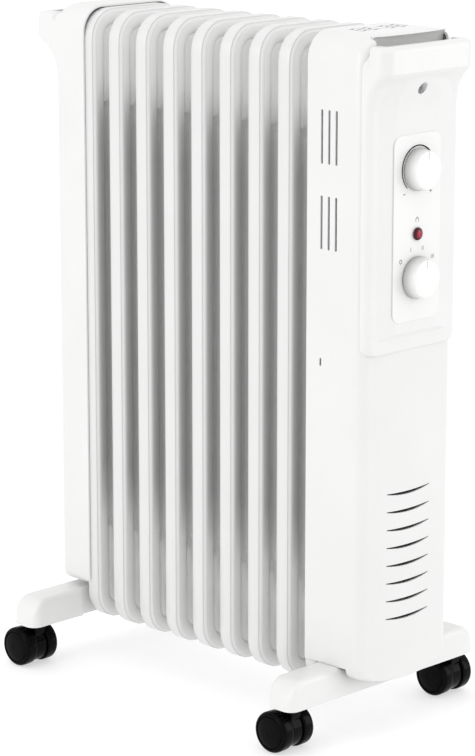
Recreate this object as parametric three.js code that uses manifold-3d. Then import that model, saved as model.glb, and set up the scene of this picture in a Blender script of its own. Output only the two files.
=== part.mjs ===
// Oil filled radiator heater on castors: nine pressed steel fins on two oil headers, a control
// housing with a handle at the front end, a cover with a handle at the rear end, and two feet.
// Millimetres. +X runs along the stack of fins towards the controls, +Y to the right of someone
// facing them, +Z up. The origin is on the floor, under the middle of the heater.
import * as THREE from "three";
import { mergeVertices } from "three/addons/utils/BufferGeometryUtils.js";
import Module from "manifold-3d";

const wasm = await Module();
wasm.setup();

// ---- Driving dimensions ----
const GAP = 0.3; // between pieces that touch
const RUNNING_GAP = 0.35; // between a turning piece and its bearing

// Fins, the pressed steel plates that hold the oil
const FIN_COUNT = 9;
const FIN_PITCH = 35.7;
const FIN_WIDTH = 115;
const FIN_HEIGHT = 583.5;
const FIN_BELOW_FEET = 2.5; // fins reach below the underside of the feet
const FIN_CORNER = 27;
const FIN_BAND = 18; // thickness of the folded edge
const FIN_EDGE_FACE = 13; // flat part of the folded edge
const FIN_SHOULDER = 3.5; // depth of the shoulder beside that flat
const FIN_FOLD = 12.5; // how far the fold runs in from the edge
const FIN_FOLD_SLOPE = 6;
const FIN_WEB = 6; // thickness inside the fold
const BODY_HALF_WIDTH = 30; // raised oil body in the middle of the fin
const BODY_THICKNESS = 14;

// Headers, the round passages that join the fins
const HEADER_INSET = 64; // header axis to the fin's top or bottom edge
const HEADER_DOME_R = 42;
const HEADER_DOME_THICKNESS = 18;
const NECK_R = 22;
const HEADER_BORE_R = 15;
const CAP_THICKNESS = 4;
const PLUG_HEX_R = 13;
const PLUG_LENGTH = 12;
const SPIGOT_PLAY = 1; // spigot or thread to bore, on the radius
const PLUG_WASHER = 2;

// Control housing and rear cover
const SHELL_WALL = 1.8;
const SHELL_TO_FIN = 0.5;
const SHELL_TOP_CORNER = 24;
const SHELL_SIDE_CORNER = 10;
const HOUSING_LAP = 14.5; // how far the housing reaches back over the last fin's fold
const HOUSING_DEPTH = 65.5;
const HOUSING_CROWN = 3; // bow of the front face
const CHIN_Z = 52; // bottom of the front face
const CHIN_CORNER = 18;
const COVER_TO_FIN = 0.5;
const COVER_DEPTH = 35.8;
const COVER_LIFT = 5.2; // cover above the rear foot
const COVER_WALL = 2.2;
const COVER_BOTTOM_CORNER = 8;
const COVER_NOTCH_PLAY = 1.4; // rear foot's bracket to the recess for it in the cover's floor

// Front panel, control plate and handles
const PANEL_RISE = 3.8; // panel in front of the housing
const PANEL_WALL = 2;
const PANEL_BOTTOM_Z = 350;
const PANEL_BOTTOM_CORNER = 8;
const PANEL_INSET = 1.2; // panel side to housing side
const PANEL_TOP_DROP = 8.5; // panel top below the housing top
const PLATEAU_RISE = 3.4; // raised middle of the panel
const PLATEAU_HALF_WIDTH = 25;
const PLATEAU_FOOT_HALF_WIDTH = 46;
const PLATEAU_BOTTOM_Z = 362;
const PLATE_WIDTH = 60;
const PLATE_TOP_Z = 538;
const PLATE_BOTTOM_Z = 376;
const PLATE_THICKNESS = 1;
const PLATE_CORNER = 9;
const FRONT_HANDLE_REACH = 18.4;
const REAR_HANDLE_REACH = 26;
const HANDLE_LIP_HEIGHT = 25;
const HANDLE_LIP_THICKNESS = 10;
const HANDLE_FLARE = 60; // handle top to the end of the flare
const FLARE_DROP = 9; // how steeply the flare leaves the lip
const HANDLE_ROOT = 8; // depth of the solid part behind the handle's face
const HANDLE_CORNER = 12;
const LIP_TOP_CORNER = 5; // top corners of each lip
const HANDLE_EDGE = 5;
const GRIP_HALF_WIDTH = 46; // slot for the fingers
const GRIP_DEPTH = 30;
const GRIP_CORNER = 2;
const GRIP_SETBACK = 1.2; // rear cover's face to its slot

// Controls
const THERMOSTAT_Z = 507.5;
const SWITCH_Z = 413.5;
const LAMP_Z = 451.5;
const KNOB_SKIRT_R = 18.8;
const KNOB_FACE_R = 16;
const KNOB_HEIGHT = 11.6;
const KNOB_RIM = 2; // height of the knob's straight skirt
const KNOB_BEVEL = 1.5; // depth of the bevel round its face
const POINTER_WIDTH = 1.6;
const POINTER_LENGTH = 6;
const RING_WIDTH = 2.8; // past the knob's skirt
const RING_HEIGHT = 1.2;
const SHAFT_R = 3;
const BUSH_R = 4.7;
const BUSH_LENGTH = 5;
const CONTROL_WIDTH = 34;
const CONTROL_DEPTH = 20;
const BRACKET_THICKNESS = 1.2;
const BRACKET_HALF_WIDTH = 38;
const BRACKET_STANDOFF = 3.4; // bracket to the inside of the housing's front
const LENS_R = 5.7;
const LAMP_R = 4.6;
const LAMP_LENGTH = 22;
const LENS_DOME = 2.6; // lens in front of the plate
const LENS_BEVEL = 1.5;
const LENS_SHOULDER = 0.7; // part of the dome's height taken by its bevel
const PANEL_SCREW_Z = 577;
const SCREW_HEAD_R = 4;
const SCREW_POCKET_R = 5.2;
const SCREW_SHANK_R = 1.9;
const SCREW_HEAD_EDGE = 1.5;
const SCREW_HEAD_HEIGHT = 2.5;

// Vents
const SIDE_SLOT_WIDTH = 2.7;
const SIDE_SLOT_HEIGHT = 46.5;
const SIDE_SLOT_PITCH = 8.4;
const SIDE_SLOT_COUNT = 3;
const SIDE_SLOT_SETBACK = 17; // housing's back edge to the first slot
const SIDE_SLOT_TOPS_Z = [559, 485];
const CLIP_SLOT_Z = 336;
const CLIP_SLOT_HEIGHT = 7;
const LOUVRE_COUNT = 8;
const LOUVRE_PITCH = 16.2;
const LOUVRE_TOP_Z = 224;
const LOUVRE_HALF_WIDTH = 27.5;
const LOUVRE_HEIGHT = 2.6;
const LOUVRE_SAG = 1.6;
const TOP_SLOT_COUNT = 3;
const TOP_SLOT_PITCH = 7;
const TOP_SLOT_LENGTH = 28;
const TOP_SLOT_WIDTH = 2.6;
const TOP_SLOT_SETBACK = 20; // housing's back edge to the first slot
const TOP_SLOT_Y = 18;

// Heating element, in the bottom header
const ELEMENT_TUBE_R = 4;
const ELEMENT_SPREAD = 8; // tube axis to header axis
const ELEMENT_END_CLEARANCE = 24; // header's rear end to the start of the bend
const FLANGE_R = 25;
const FLANGE_THICKNESS = 6;
const PIN_LENGTH = 9;
const TERMINAL_BLOCK = [9, 34, 26];
const CUTOUT_R = 9;
const CUTOUT_HEIGHT = 7;
const CUTOUT_Z = 430;
const WIRE_R = 2.2;
const GLAND_Z = 118;
const GLAND_R = 8.5;
const GLAND_BORE_R = 4;
const GLAND_REACH = 3.5; // gland outside the housing
const GLAND_FLANGE = 2; // width and thickness of the flanges that grip the wall

// Feet
const FOOT_LENGTH = 246;
const FOOT_WIDTH = 32;
const FOOT_HEIGHT = 26.5;
const FOOT_ABOVE_WHEELS = 3.2;
const FOOT_END_RUN = 19; // length of the rounded end
const FOOT_WALL = 2.5;
const FOOT_PLAN_CORNER = 9;
const FOOT_NOTCH = 3; // recess beside the end fin
const FRONT_FOOT_OFFSET = 23.1; // last fin to the front foot's middle
const REAR_FOOT_OFFSET = 28.3; // first fin to the rear foot's middle
const FOOT_BRACKET_THICKNESS = 2;
const FOOT_BRACKET_HALF_WIDTH = 27;
const FOOT_BRACKET_RISE = 32; // above the header axis
const STUD_R = 3;
const STUD_LENGTH = 15;
const NUT_R = 6;
const NUT_HEIGHT = 6;
const WING_SPAN = 11;
const WING_THICKNESS = 2.5;

// Castors
const CASTOR_SPACING = 213;
const CASTOR_TRAIL = 8;
const WHEEL_R = 18.9;
const WHEEL_WIDTH = 13.5;
const WHEEL_SIDES = 20;
const WHEEL_ROUND = 3.5;
const WHEEL_BEVEL = 1; // inner edge of the tread
const HOOD_WIDTH = 12.6;
const HOOD_ABOVE_FLOOR = 1.9;
const STEM_SEAT = 9; // depth of the stem in the castor body
const AXLE_R = 2.5;
const AXLE_COVER = 4; // wheel wall outside the axle's end
const STEM_R = 4;
const STEM_LENGTH = 26;
const SOCKET_WALL = 4;

// ---- Places worked out from the dimensions ----
const FOOT_UNDERSIDE_Z = 2 * WHEEL_R + FOOT_ABOVE_WHEELS;
const FOOT_TOP_Z = FOOT_UNDERSIDE_Z + FOOT_HEIGHT;
const HOOD_R = WHEEL_R - HOOD_ABOVE_FLOOR;
const RING_R = KNOB_SKIRT_R + RING_WIDTH;
const FIN_BOTTOM_Z = FOOT_UNDERSIDE_Z - FIN_BELOW_FEET;
const FIN_TOP_Z = FIN_BOTTOM_Z + FIN_HEIGHT;
const TOP_HEADER_Z = FIN_TOP_Z - HEADER_INSET;
const BOTTOM_HEADER_Z = FIN_BOTTOM_Z + HEADER_INSET;
const NECK_HALF_LENGTH = (FIN_PITCH - GAP) / 2;
const SHELL_HALF_WIDTH = FIN_WIDTH / 2 + SHELL_TO_FIN + SHELL_WALL;
const SHELL_TOP_Z = FIN_TOP_Z + SHELL_TO_FIN + SHELL_WALL;
const SHELL_BOTTOM_Z = FOOT_TOP_Z + GAP;
const STACK_LENGTH = (FIN_COUNT - 1) * FIN_PITCH;
const COVER_MOUTH = FIN_BAND / 2 + COVER_TO_FIN; // behind the first fin's middle
const FOOT_BRACKET_BACK = HEADER_DOME_THICKNESS / 2 + GAP + FOOT_BRACKET_THICKNESS;
const COVER_NOTCH = FOOT_BRACKET_BACK + COVER_NOTCH_PLAY - COVER_MOUTH;
const COVER_REACH = COVER_MOUTH + COVER_DEPTH;
const REAR_REACH = COVER_REACH + REAR_HANDLE_REACH;
const PANEL_REACH = FIN_BAND / 2 - HOUSING_LAP + HOUSING_DEPTH + PANEL_RISE;
const FRONT_REACH = PANEL_REACH + FRONT_HANDLE_REACH;
const FIRST_FIN_X = (REAR_REACH - STACK_LENGTH - FRONT_REACH) / 2;
const LAST_FIN_X = FIRST_FIN_X + STACK_LENGTH;
const HOUSING_BACK_X = LAST_FIN_X + FIN_BAND / 2 - HOUSING_LAP;
const HOUSING_FRONT_X = HOUSING_BACK_X + HOUSING_DEPTH;
const HOUSING_CROWN_X = HOUSING_FRONT_X + HOUSING_CROWN;
const PANEL_X = HOUSING_FRONT_X + PANEL_RISE;
const PANEL_TOP_Z = SHELL_TOP_Z - PANEL_TOP_DROP;
const PLATEAU_X = PANEL_X + PLATEAU_RISE;
const PLATE_BACK_X = PLATEAU_X + GAP;
const PLATE_FRONT_X = PLATE_BACK_X + PLATE_THICKNESS;
const COVER_EDGE_X = FIRST_FIN_X - COVER_MOUTH;
const COVER_BACK_X = COVER_EDGE_X - COVER_DEPTH;
const BRACKET_FRONT_X = HOUSING_CROWN_X - SHELL_WALL - BRACKET_STANDOFF;
const BRACKET_BACK_X = BRACKET_FRONT_X - BRACKET_THICKNESS;
const CONTROL_FRONT_X = BRACKET_BACK_X - GAP;
const CONTROL_BACK_X = CONTROL_FRONT_X - CONTROL_DEPTH;
const FLANGE_BACK_X = LAST_FIN_X + NECK_HALF_LENGTH + GAP;
const FRONT_FOOT_X = LAST_FIN_X + FRONT_FOOT_OFFSET;
const REAR_FOOT_X = FIRST_FIN_X - REAR_FOOT_OFFSET;
const AXLE_Z = WHEEL_R * Math.cos(Math.PI / WHEEL_SIDES);
const AXLE_HALF_LENGTH = HOOD_WIDTH / 2 + GAP + WHEEL_WIDTH - AXLE_COVER - RUNNING_GAP;
const FINE = 20; // sides of a visible round piece
const COARSE = 12; // sides of a hidden round piece
const SMALL = 8; // sides of a tube or pin
const HEX = 6;
const BEYOND = 5; // how far a cutting solid runs past the piece it cuts

// ---- Materials ----
const WHITE_ENAMEL = new THREE.MeshStandardMaterial({ color: 0xf2f1ee, roughness: 0.32 });
const WHITE_PLASTIC = new THREE.MeshStandardMaterial({ color: 0xf4f3f1, roughness: 0.4 });
const BLACK_PLASTIC = new THREE.MeshStandardMaterial({ color: 0x111112, roughness: 0.3 });
const RED_LENS = new THREE.MeshStandardMaterial({ color: 0xa00c18, roughness: 0.15 });
const STEEL = new THREE.MeshStandardMaterial({ color: 0xa9abad, roughness: 0.4, metalness: 1 });
const BRASS = new THREE.MeshStandardMaterial({ color: 0xb59a5b, roughness: 0.4, metalness: 1 });
const CREAM_PLASTIC = new THREE.MeshStandardMaterial({ color: 0xd8d2c0, roughness: 0.6 });
const WIRE_RED = new THREE.MeshStandardMaterial({ color: 0x8e2a22, roughness: 0.55 });

// ---- Solids ----
// A closed geometry as a solid that can be joined and cut.
function solidOf(geometry) {
  const bare = geometry.clone();
  bare.deleteAttribute("normal");
  bare.deleteAttribute("uv");
  const merged = mergeVertices(bare, 1e-4);
  const corners = merged.index.array;
  const kept = [];
  for (let i = 0; i < corners.length; i += 3) {
    const [a, b, c] = corners.slice(i, i + 3);
    if (a !== b && b !== c && c !== a) kept.push(a, b, c);
  }
  return new wasm.Manifold(
    new wasm.Mesh({
      numProp: 3,
      vertProperties: merged.attributes.position.array,
      triVerts: new Uint32Array(kept),
    }),
  );
}

// A solid as a named mesh.
function meshOf(name, solid, material) {
  const { vertProperties, triVerts } = solid.getMesh();
  const geometry = new THREE.BufferGeometry();
  geometry.setAttribute("position", new THREE.BufferAttribute(vertProperties, 3));
  geometry.setIndex(new THREE.BufferAttribute(triVerts, 1));
  geometry.computeVertexNormals();
  const mesh = new THREE.Mesh(geometry, material);
  mesh.name = name;
  return mesh;
}

function box([x0, x1], [y0, y1], [z0, z1]) {
  const geometry = new THREE.BoxGeometry(x1 - x0, y1 - y0, z1 - z0);
  geometry.translate((x0 + x1) / 2, (y0 + y1) / 2, (z0 + z1) / 2);
  return solidOf(geometry);
}

// Turns and places a geometry whose own axis is Y, so that it lies along an axis of the heater.
const FROM_Y = {
  x: new THREE.Matrix4().makeRotationZ(-Math.PI / 2),
  y: new THREE.Matrix4(),
  z: new THREE.Matrix4().makeRotationX(Math.PI / 2),
};

// A piece turned about an axis. The profile is [radius, distance along the axis] in order, with
// its first and last points on the axis, or closed on itself.
function turned(axis, profile, [x, y, z], sides) {
  const points = profile.map(([radius, along]) => new THREE.Vector2(radius, along));
  const geometry = new THREE.LatheGeometry(points, sides);
  geometry.rotateY(Math.PI / sides);
  geometry.applyMatrix4(FROM_Y[axis]);
  geometry.translate(x, y, z);
  return solidOf(geometry);
}

// A round bar along an axis, from one distance to another.
function rod(axis, radius, [from, to], centre, sides) {
  return turned(axis, [[0, from], [radius, from], [radius, to], [0, to]], centre, sides);
}

// A flat outline, drawn in the two axes that follow, pushed along the third one.
const FROM_Z = {
  x: new THREE.Matrix4().makeBasis(
    new THREE.Vector3(0, 1, 0),
    new THREE.Vector3(0, 0, 1),
    new THREE.Vector3(1, 0, 0),
  ),
  y: new THREE.Matrix4().makeBasis(
    new THREE.Vector3(1, 0, 0),
    new THREE.Vector3(0, 0, 1),
    new THREE.Vector3(0, -1, 0),
  ),
  z: new THREE.Matrix4(),
};

function prism(axis, outline, [from, to], curveSegments = 2) {
  const geometry = new THREE.ExtrudeGeometry(outline, {
    depth: to - from,
    bevelEnabled: false,
    curveSegments,
  });
  geometry.applyMatrix4(FROM_Z[axis]);
  if (axis === "x") geometry.translate(from, 0, 0);
  if (axis === "y") geometry.translate(0, to, 0);
  if (axis === "z") geometry.translate(0, 0, from);
  return solidOf(geometry);
}

// A rectangle with a radius at each of its bottom and top corners.
function roundedRect([u0, u1], [v0, v1], bottomRadius, topRadius) {
  const turn = Math.PI / 2;
  const shape = new THREE.Shape();
  shape.moveTo(u0 + bottomRadius, v0);
  shape.lineTo(u1 - bottomRadius, v0);
  if (bottomRadius) shape.absarc(u1 - bottomRadius, v0 + bottomRadius, bottomRadius, -turn, 0);
  shape.lineTo(u1, v1 - topRadius);
  if (topRadius) shape.absarc(u1 - topRadius, v1 - topRadius, topRadius, 0, turn);
  shape.lineTo(u0 + topRadius, v1);
  if (topRadius) shape.absarc(u0 + topRadius, v1 - topRadius, topRadius, turn, 2 * turn);
  shape.lineTo(u0, v0 + bottomRadius);
  if (bottomRadius) {
    shape.absarc(u0 + bottomRadius, v0 + bottomRadius, bottomRadius, 2 * turn, 3 * turn);
  }
  return shape;
}

// A skin over rings of the same number of points, closed by a fan at each end.
function loft(rings) {
  const count = rings[0].length;
  const positions = rings.flat().flatMap((point) => point.toArray());
  const index = [];
  for (let ring = 0; ring + 1 < rings.length; ring += 1) {
    for (let i = 0; i < count; i += 1) {
      const a = ring * count + i;
      const b = ring * count + ((i + 1) % count);
      index.push(a, b, b + count, a, b + count, a + count);
    }
  }
  const last = (rings.length - 1) * count;
  for (let i = 1; i + 1 < count; i += 1) {
    index.push(0, i + 1, i);
    index.push(last, last + i, last + i + 1);
  }
  const geometry = new THREE.BufferGeometry();
  geometry.setAttribute("position", new THREE.Float32BufferAttribute(positions, 3));
  geometry.setIndex(index);
  return solidOf(geometry);
}

// ---- Fins ----
// The fin's outline at a distance in from its edge, on the plane at x.
function finRing(x, inset) {
  const halfWidth = FIN_WIDTH / 2 - inset;
  const radius = Math.max(FIN_CORNER - inset, FIN_CORNER / 3);
  const outline = roundedRect(
    [-halfWidth, halfWidth],
    [FIN_BOTTOM_Z + inset, FIN_TOP_Z - inset],
    radius,
    radius,
  );
  const points = outline.getPoints(1);
  points.pop();
  return points.map((point) => new THREE.Vector3(x, point.x, point.y));
}

// Web and folded edge: half of the section, from the web out to the edge, then mirrored.
function finPlate(x) {
  const half = [
    [FIN_WEB / 2, FIN_FOLD + FIN_FOLD_SLOPE],
    [FIN_BAND / 2, FIN_FOLD],
    [FIN_BAND / 2, FIN_SHOULDER],
    [FIN_EDGE_FACE / 2, 0],
  ];
  const front = half.map(([side, inset]) => finRing(x + side, inset)).reverse();
  const back = half.map(([side, inset]) => finRing(x - side, inset));
  return loft([...back, ...front]);
}

// Dome and neck round one header.
function headerDome(x, z) {
  const profile = [
    [0, -NECK_HALF_LENGTH],
    [NECK_R, -NECK_HALF_LENGTH],
    [NECK_R, -HEADER_DOME_THICKNESS / 2],
    [HEADER_DOME_R, -FIN_WEB / 2],
    [HEADER_DOME_R, FIN_WEB / 2],
    [NECK_R, HEADER_DOME_THICKNESS / 2],
    [NECK_R, NECK_HALF_LENGTH],
    [0, NECK_HALF_LENGTH],
  ];
  return turned("x", profile, [x, 0, z], COARSE);
}

function headerBore(x, z) {
  return rod("x", HEADER_BORE_R, [-FIN_PITCH, FIN_PITCH], [x, 0, z], COARSE);
}

// The raised oil body between the two headers, hollow and open to both of them.
function fin(x) {
  const halfBody = BODY_THICKNESS / 2;
  const body = box(
    [x - halfBody, x + halfBody],
    [-BODY_HALF_WIDTH, BODY_HALF_WIDTH],
    [BOTTOM_HEADER_Z, TOP_HEADER_Z],
  );
  const channelHalf = halfBody - SHELL_WALL;
  const channel = box(
    [x - channelHalf, x + channelHalf],
    [-BODY_HALF_WIDTH + FIN_WEB, BODY_HALF_WIDTH - FIN_WEB],
    [BOTTOM_HEADER_Z, TOP_HEADER_Z],
  );
  return finPlate(x)
    .add(body)
    .add(headerDome(x, TOP_HEADER_Z))
    .add(headerDome(x, BOTTOM_HEADER_Z))
    .subtract(channel)
    .subtract(headerBore(x, TOP_HEADER_Z))
    .subtract(headerBore(x, BOTTOM_HEADER_Z));
}

// ---- Header ends and heating element ----
// A round cap over the end of a neck, with a spigot in its bore. side is -1 rear, 1 front.
function headerCap(side, z) {
  const neckEnd = NECK_HALF_LENGTH + GAP;
  const x = side > 0 ? LAST_FIN_X : FIRST_FIN_X;
  const plate = rod("x", NECK_R, [neckEnd, neckEnd + CAP_THICKNESS], [0, 0, 0], COARSE);
  const spigotR = HEADER_BORE_R - SPIGOT_PLAY;
  const spigot = rod("x", spigotR, [neckEnd - CAP_THICKNESS, neckEnd + 1], [0, 0, 0], COARSE);
  const cap = plate.add(spigot);
  return (side > 0 ? cap : cap.rotate([0, 0, 180])).translate([x, 0, z]);
}

// The oil filler plug: a hexagon head over the top header's rear end, with its thread inside.
function fillerPlug() {
  const neckEnd = NECK_HALF_LENGTH + GAP;
  const washer = rod("x", NECK_R, [-neckEnd - PLUG_WASHER, -neckEnd], [0, 0, 0], COARSE);
  const head = rod("x", PLUG_HEX_R, [-neckEnd - PLUG_LENGTH, -neckEnd - PLUG_WASHER / 2], [0, 0, 0], HEX);
  const threadEnds = [-neckEnd - PLUG_WASHER / 2, -neckEnd + CAP_THICKNESS];
  const thread = rod("x", HEADER_BORE_R - SPIGOT_PLAY, threadEnds, [0, 0, 0], COARSE);
  return washer.add(head).add(thread).translate([FIRST_FIN_X, 0, TOP_HEADER_Z]);
}

// The bent element tube: out along the bottom of the header and back along its top.
function heatingElement() {
  const bendX = FIRST_FIN_X - NECK_HALF_LENGTH + ELEMENT_END_CLEARANCE;
  const length = FLANGE_BACK_X - GAP - bendX;
  const legs = [-ELEMENT_SPREAD, ELEMENT_SPREAD].map((offset) =>
    rod("x", ELEMENT_TUBE_R, [0, length], [bendX, 0, BOTTOM_HEADER_Z + offset], SMALL),
  );
  const ring = new THREE.TorusGeometry(ELEMENT_SPREAD, ELEMENT_TUBE_R, SMALL, COARSE);
  ring.rotateX(Math.PI / 2);
  ring.translate(bendX, 0, BOTTOM_HEADER_Z);
  const reach = ELEMENT_SPREAD + 2 * ELEMENT_TUBE_R;
  const half = box(
    [bendX - reach, bendX + GAP],
    [-reach, reach],
    [BOTTOM_HEADER_Z - reach, BOTTOM_HEADER_Z + reach],
  );
  return solidOf(ring).intersect(half).add(legs[0]).add(legs[1]);
}

// The flange that screws the element into the front of the bottom header, with its pins.
function elementFlange() {
  const centre = [FLANGE_BACK_X, 0, BOTTOM_HEADER_Z];
  const pins = [-ELEMENT_SPREAD, ELEMENT_SPREAD].map((offset) =>
    rod(
      "x",
      SCREW_SHANK_R,
      [1, FLANGE_THICKNESS + PIN_LENGTH],
      [FLANGE_BACK_X, 0, BOTTOM_HEADER_Z + offset],
      SMALL,
    ),
  );
  return rod("x", FLANGE_R, [0, FLANGE_THICKNESS], centre, HEX).add(pins[0]).add(pins[1]);
}

function terminalBlock() {
  const [depth, width, height] = TERMINAL_BLOCK;
  const x = FLANGE_BACK_X + FLANGE_THICKNESS + GAP;
  const block = box(
    [x, x + depth],
    [-width / 2, width / 2],
    [BOTTOM_HEADER_Z - height / 2, BOTTOM_HEADER_Z + height / 2],
  );
  const holes = [-ELEMENT_SPREAD, ELEMENT_SPREAD].map((offset) =>
    rod(
      "x",
      SCREW_SHANK_R + RUNNING_GAP,
      [-BEYOND, depth + BEYOND],
      [x, 0, BOTTOM_HEADER_Z + offset],
      SMALL,
    ),
  );
  return block.subtract(holes[0]).subtract(holes[1]);
}

// The bundle of wires from the terminal block up to the switch.
function wiring() {
  const [depth, , height] = TERMINAL_BLOCK;
  const x = FLANGE_BACK_X + FLANGE_THICKNESS + GAP + depth / 2;
  const from = new THREE.Vector3(x, 0, BOTTOM_HEADER_Z + height / 2 + GAP);
  const toX = CONTROL_BACK_X + CONTROL_DEPTH / 2;
  const to = new THREE.Vector3(toX, 0, SWITCH_Z - CONTROL_WIDTH / 2 - GAP);
  const lead = (to.z - from.z) / 3;
  const path = new THREE.CubicBezierCurve3(
    from,
    new THREE.Vector3(x, 0, from.z + lead),
    new THREE.Vector3(toX, 0, to.z - lead),
    to,
  );
  const section = new THREE.Shape();
  section.absarc(0, 0, WIRE_R, 0, 2 * Math.PI);
  return solidOf(
    new THREE.ExtrudeGeometry(section, { steps: 10, curveSegments: 3, extrudePath: path }),
  );
}

// The safety cut-out, pressed against the last fin's oil body.
function thermalCutout() {
  const x = LAST_FIN_X + BODY_THICKNESS / 2 + GAP;
  return rod("x", CUTOUT_R, [0, CUTOUT_HEIGHT], [x, 0, CUTOUT_Z], COARSE);
}

// The bush in the right side of the housing that the mains lead passes through.
function cordGland() {
  const inside = SHELL_HALF_WIDTH - SHELL_WALL - GAP;
  const outside = SHELL_HALF_WIDTH + GAP;
  const neckR = GLAND_R - GLAND_FLANGE;
  const profile = [
    [GLAND_BORE_R, inside - GLAND_FLANGE],
    [GLAND_R, inside - GLAND_FLANGE],
    [GLAND_R, inside],
    [neckR, inside],
    [neckR, outside],
    [GLAND_R, outside],
    [neckR, SHELL_HALF_WIDTH + GLAND_REACH],
    [GLAND_BORE_R, SHELL_HALF_WIDTH + GLAND_REACH],
    [GLAND_BORE_R, inside - GLAND_FLANGE],
  ];
  return turned("y", profile, [glandX(), 0, GLAND_Z], COARSE);
}

function glandX() {
  return HOUSING_BACK_X + HOUSING_DEPTH / 2;
}

// ---- Control housing ----
// Plan of the housing from above: flat sides, rounded front corners and a bowed front.
function housingPlan(inset, back) {
  const half = SHELL_HALF_WIDTH - inset;
  const radius = SHELL_SIDE_CORNER - inset;
  const front = HOUSING_FRONT_X - inset;
  const turn = Math.PI / 2;
  const shape = new THREE.Shape();
  shape.moveTo(back, -half);
  shape.lineTo(front - radius, -half);
  shape.absarc(front - radius, -half + radius, radius, -turn, 0);
  shape.quadraticCurveTo(front + 2 * HOUSING_CROWN, 0, front, half - radius);
  shape.absarc(front - radius, half - radius, radius, 0, turn);
  shape.lineTo(back, half);
  return shape;
}

function housingBody(inset, back, bottom) {
  const half = SHELL_HALF_WIDTH - inset;
  const elevation = roundedRect(
    [-half, half],
    [bottom, SHELL_TOP_Z - inset],
    CHIN_CORNER,
    SHELL_TOP_CORNER - inset,
  );
  const plan = prism("z", housingPlan(inset, back), [bottom - BEYOND, SHELL_TOP_Z + BEYOND], 3);
  return plan.intersect(prism("x", elevation, [back, HOUSING_CROWN_X + BEYOND], 2));
}

// Slots for warm air in both sides of the housing, and the slot of the clip below them.
function sideSlots() {
  const across = [-SHELL_HALF_WIDTH - BEYOND, SHELL_HALF_WIDTH + BEYOND];
  const first = HOUSING_BACK_X + SIDE_SLOT_SETBACK;
  const slots = [];
  for (const top of SIDE_SLOT_TOPS_Z) {
    for (let i = 0; i < SIDE_SLOT_COUNT; i += 1) {
      const x = first + i * SIDE_SLOT_PITCH;
      slots.push(box([x, x + SIDE_SLOT_WIDTH], across, [top - SIDE_SLOT_HEIGHT, top]));
    }
  }
  slots.push(
    box(
      [first, first + SIDE_SLOT_WIDTH],
      across,
      [CLIP_SLOT_Z, CLIP_SLOT_Z + CLIP_SLOT_HEIGHT],
    ),
  );
  return slots;
}

// Crescent louvres for cool air, low in the front of the housing.
function louvres() {
  const cuts = [];
  for (let i = 0; i < LOUVRE_COUNT; i += 1) {
    const z = LOUVRE_TOP_Z - i * LOUVRE_PITCH;
    const shape = new THREE.Shape();
    shape.moveTo(-LOUVRE_HALF_WIDTH, z);
    shape.quadraticCurveTo(0, z - 2 * LOUVRE_SAG - LOUVRE_HEIGHT, LOUVRE_HALF_WIDTH, z);
    shape.quadraticCurveTo(0, z - LOUVRE_SAG + LOUVRE_HEIGHT, -LOUVRE_HALF_WIDTH, z);
    cuts.push(prism("x", shape, [HOUSING_FRONT_X - SHELL_SIDE_CORNER, HOUSING_CROWN_X + BEYOND], 3));
  }
  return cuts;
}

// Two groups of slots in the top of the housing.
function topSlots() {
  const cuts = [];
  const through = [SHELL_TOP_Z - SHELL_TOP_CORNER, SHELL_TOP_Z + BEYOND];
  for (const middle of [-TOP_SLOT_Y, TOP_SLOT_Y]) {
    for (let i = 0; i < TOP_SLOT_COUNT; i += 1) {
      const x = HOUSING_BACK_X + TOP_SLOT_SETBACK + i * TOP_SLOT_PITCH;
      const span = [middle - TOP_SLOT_LENGTH / 2, middle + TOP_SLOT_LENGTH / 2];
      cuts.push(box([x, x + TOP_SLOT_WIDTH], span, through));
    }
  }
  return cuts;
}

// Holes through the housing's front, the panel and the plate for what passes through them.
function controlHoles() {
  const span = [BRACKET_BACK_X - BEYOND, PLATE_FRONT_X + BEYOND];
  const holes = [THERMOSTAT_Z, SWITCH_Z, LAMP_Z].map((z) =>
    rod("x", BUSH_R + RUNNING_GAP, span, [0, 0, z], COARSE),
  );
  holes.push(rod("x", SCREW_SHANK_R + RUNNING_GAP, span, [0, 0, PANEL_SCREW_Z], COARSE));
  return holes;
}

function cutAll(solid, cuts) {
  return cuts.reduce((rest, cut) => rest.subtract(cut), solid);
}

// The side wall stops above the front foot, and the front wall runs down in front of it.
function footNotch() {
  const front = FRONT_FOOT_X + FOOT_WIDTH / 2 + BEYOND;
  return box(
    [HOUSING_BACK_X - BEYOND, front],
    [-SHELL_HALF_WIDTH - BEYOND, SHELL_HALF_WIDTH + BEYOND],
    [CHIN_Z - BEYOND, SHELL_BOTTOM_Z],
  );
}

function housing() {
  const outer = housingBody(0, HOUSING_BACK_X, CHIN_Z);
  const inner = housingBody(SHELL_WALL, HOUSING_BACK_X - BEYOND, CHIN_Z - SHELL_TOP_CORNER);
  const glandHole = rod(
    "y",
    GLAND_R - GLAND_FLANGE + GAP,
    [0, SHELL_HALF_WIDTH + BEYOND],
    [glandX(), 0, GLAND_Z],
    COARSE,
  );
  const cuts = [
    inner,
    footNotch(),
    glandHole,
    ...sideSlots(),
    ...louvres(),
    ...topSlots(),
    ...controlHoles(),
  ];
  return cutAll(outer, cuts);
}

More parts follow.
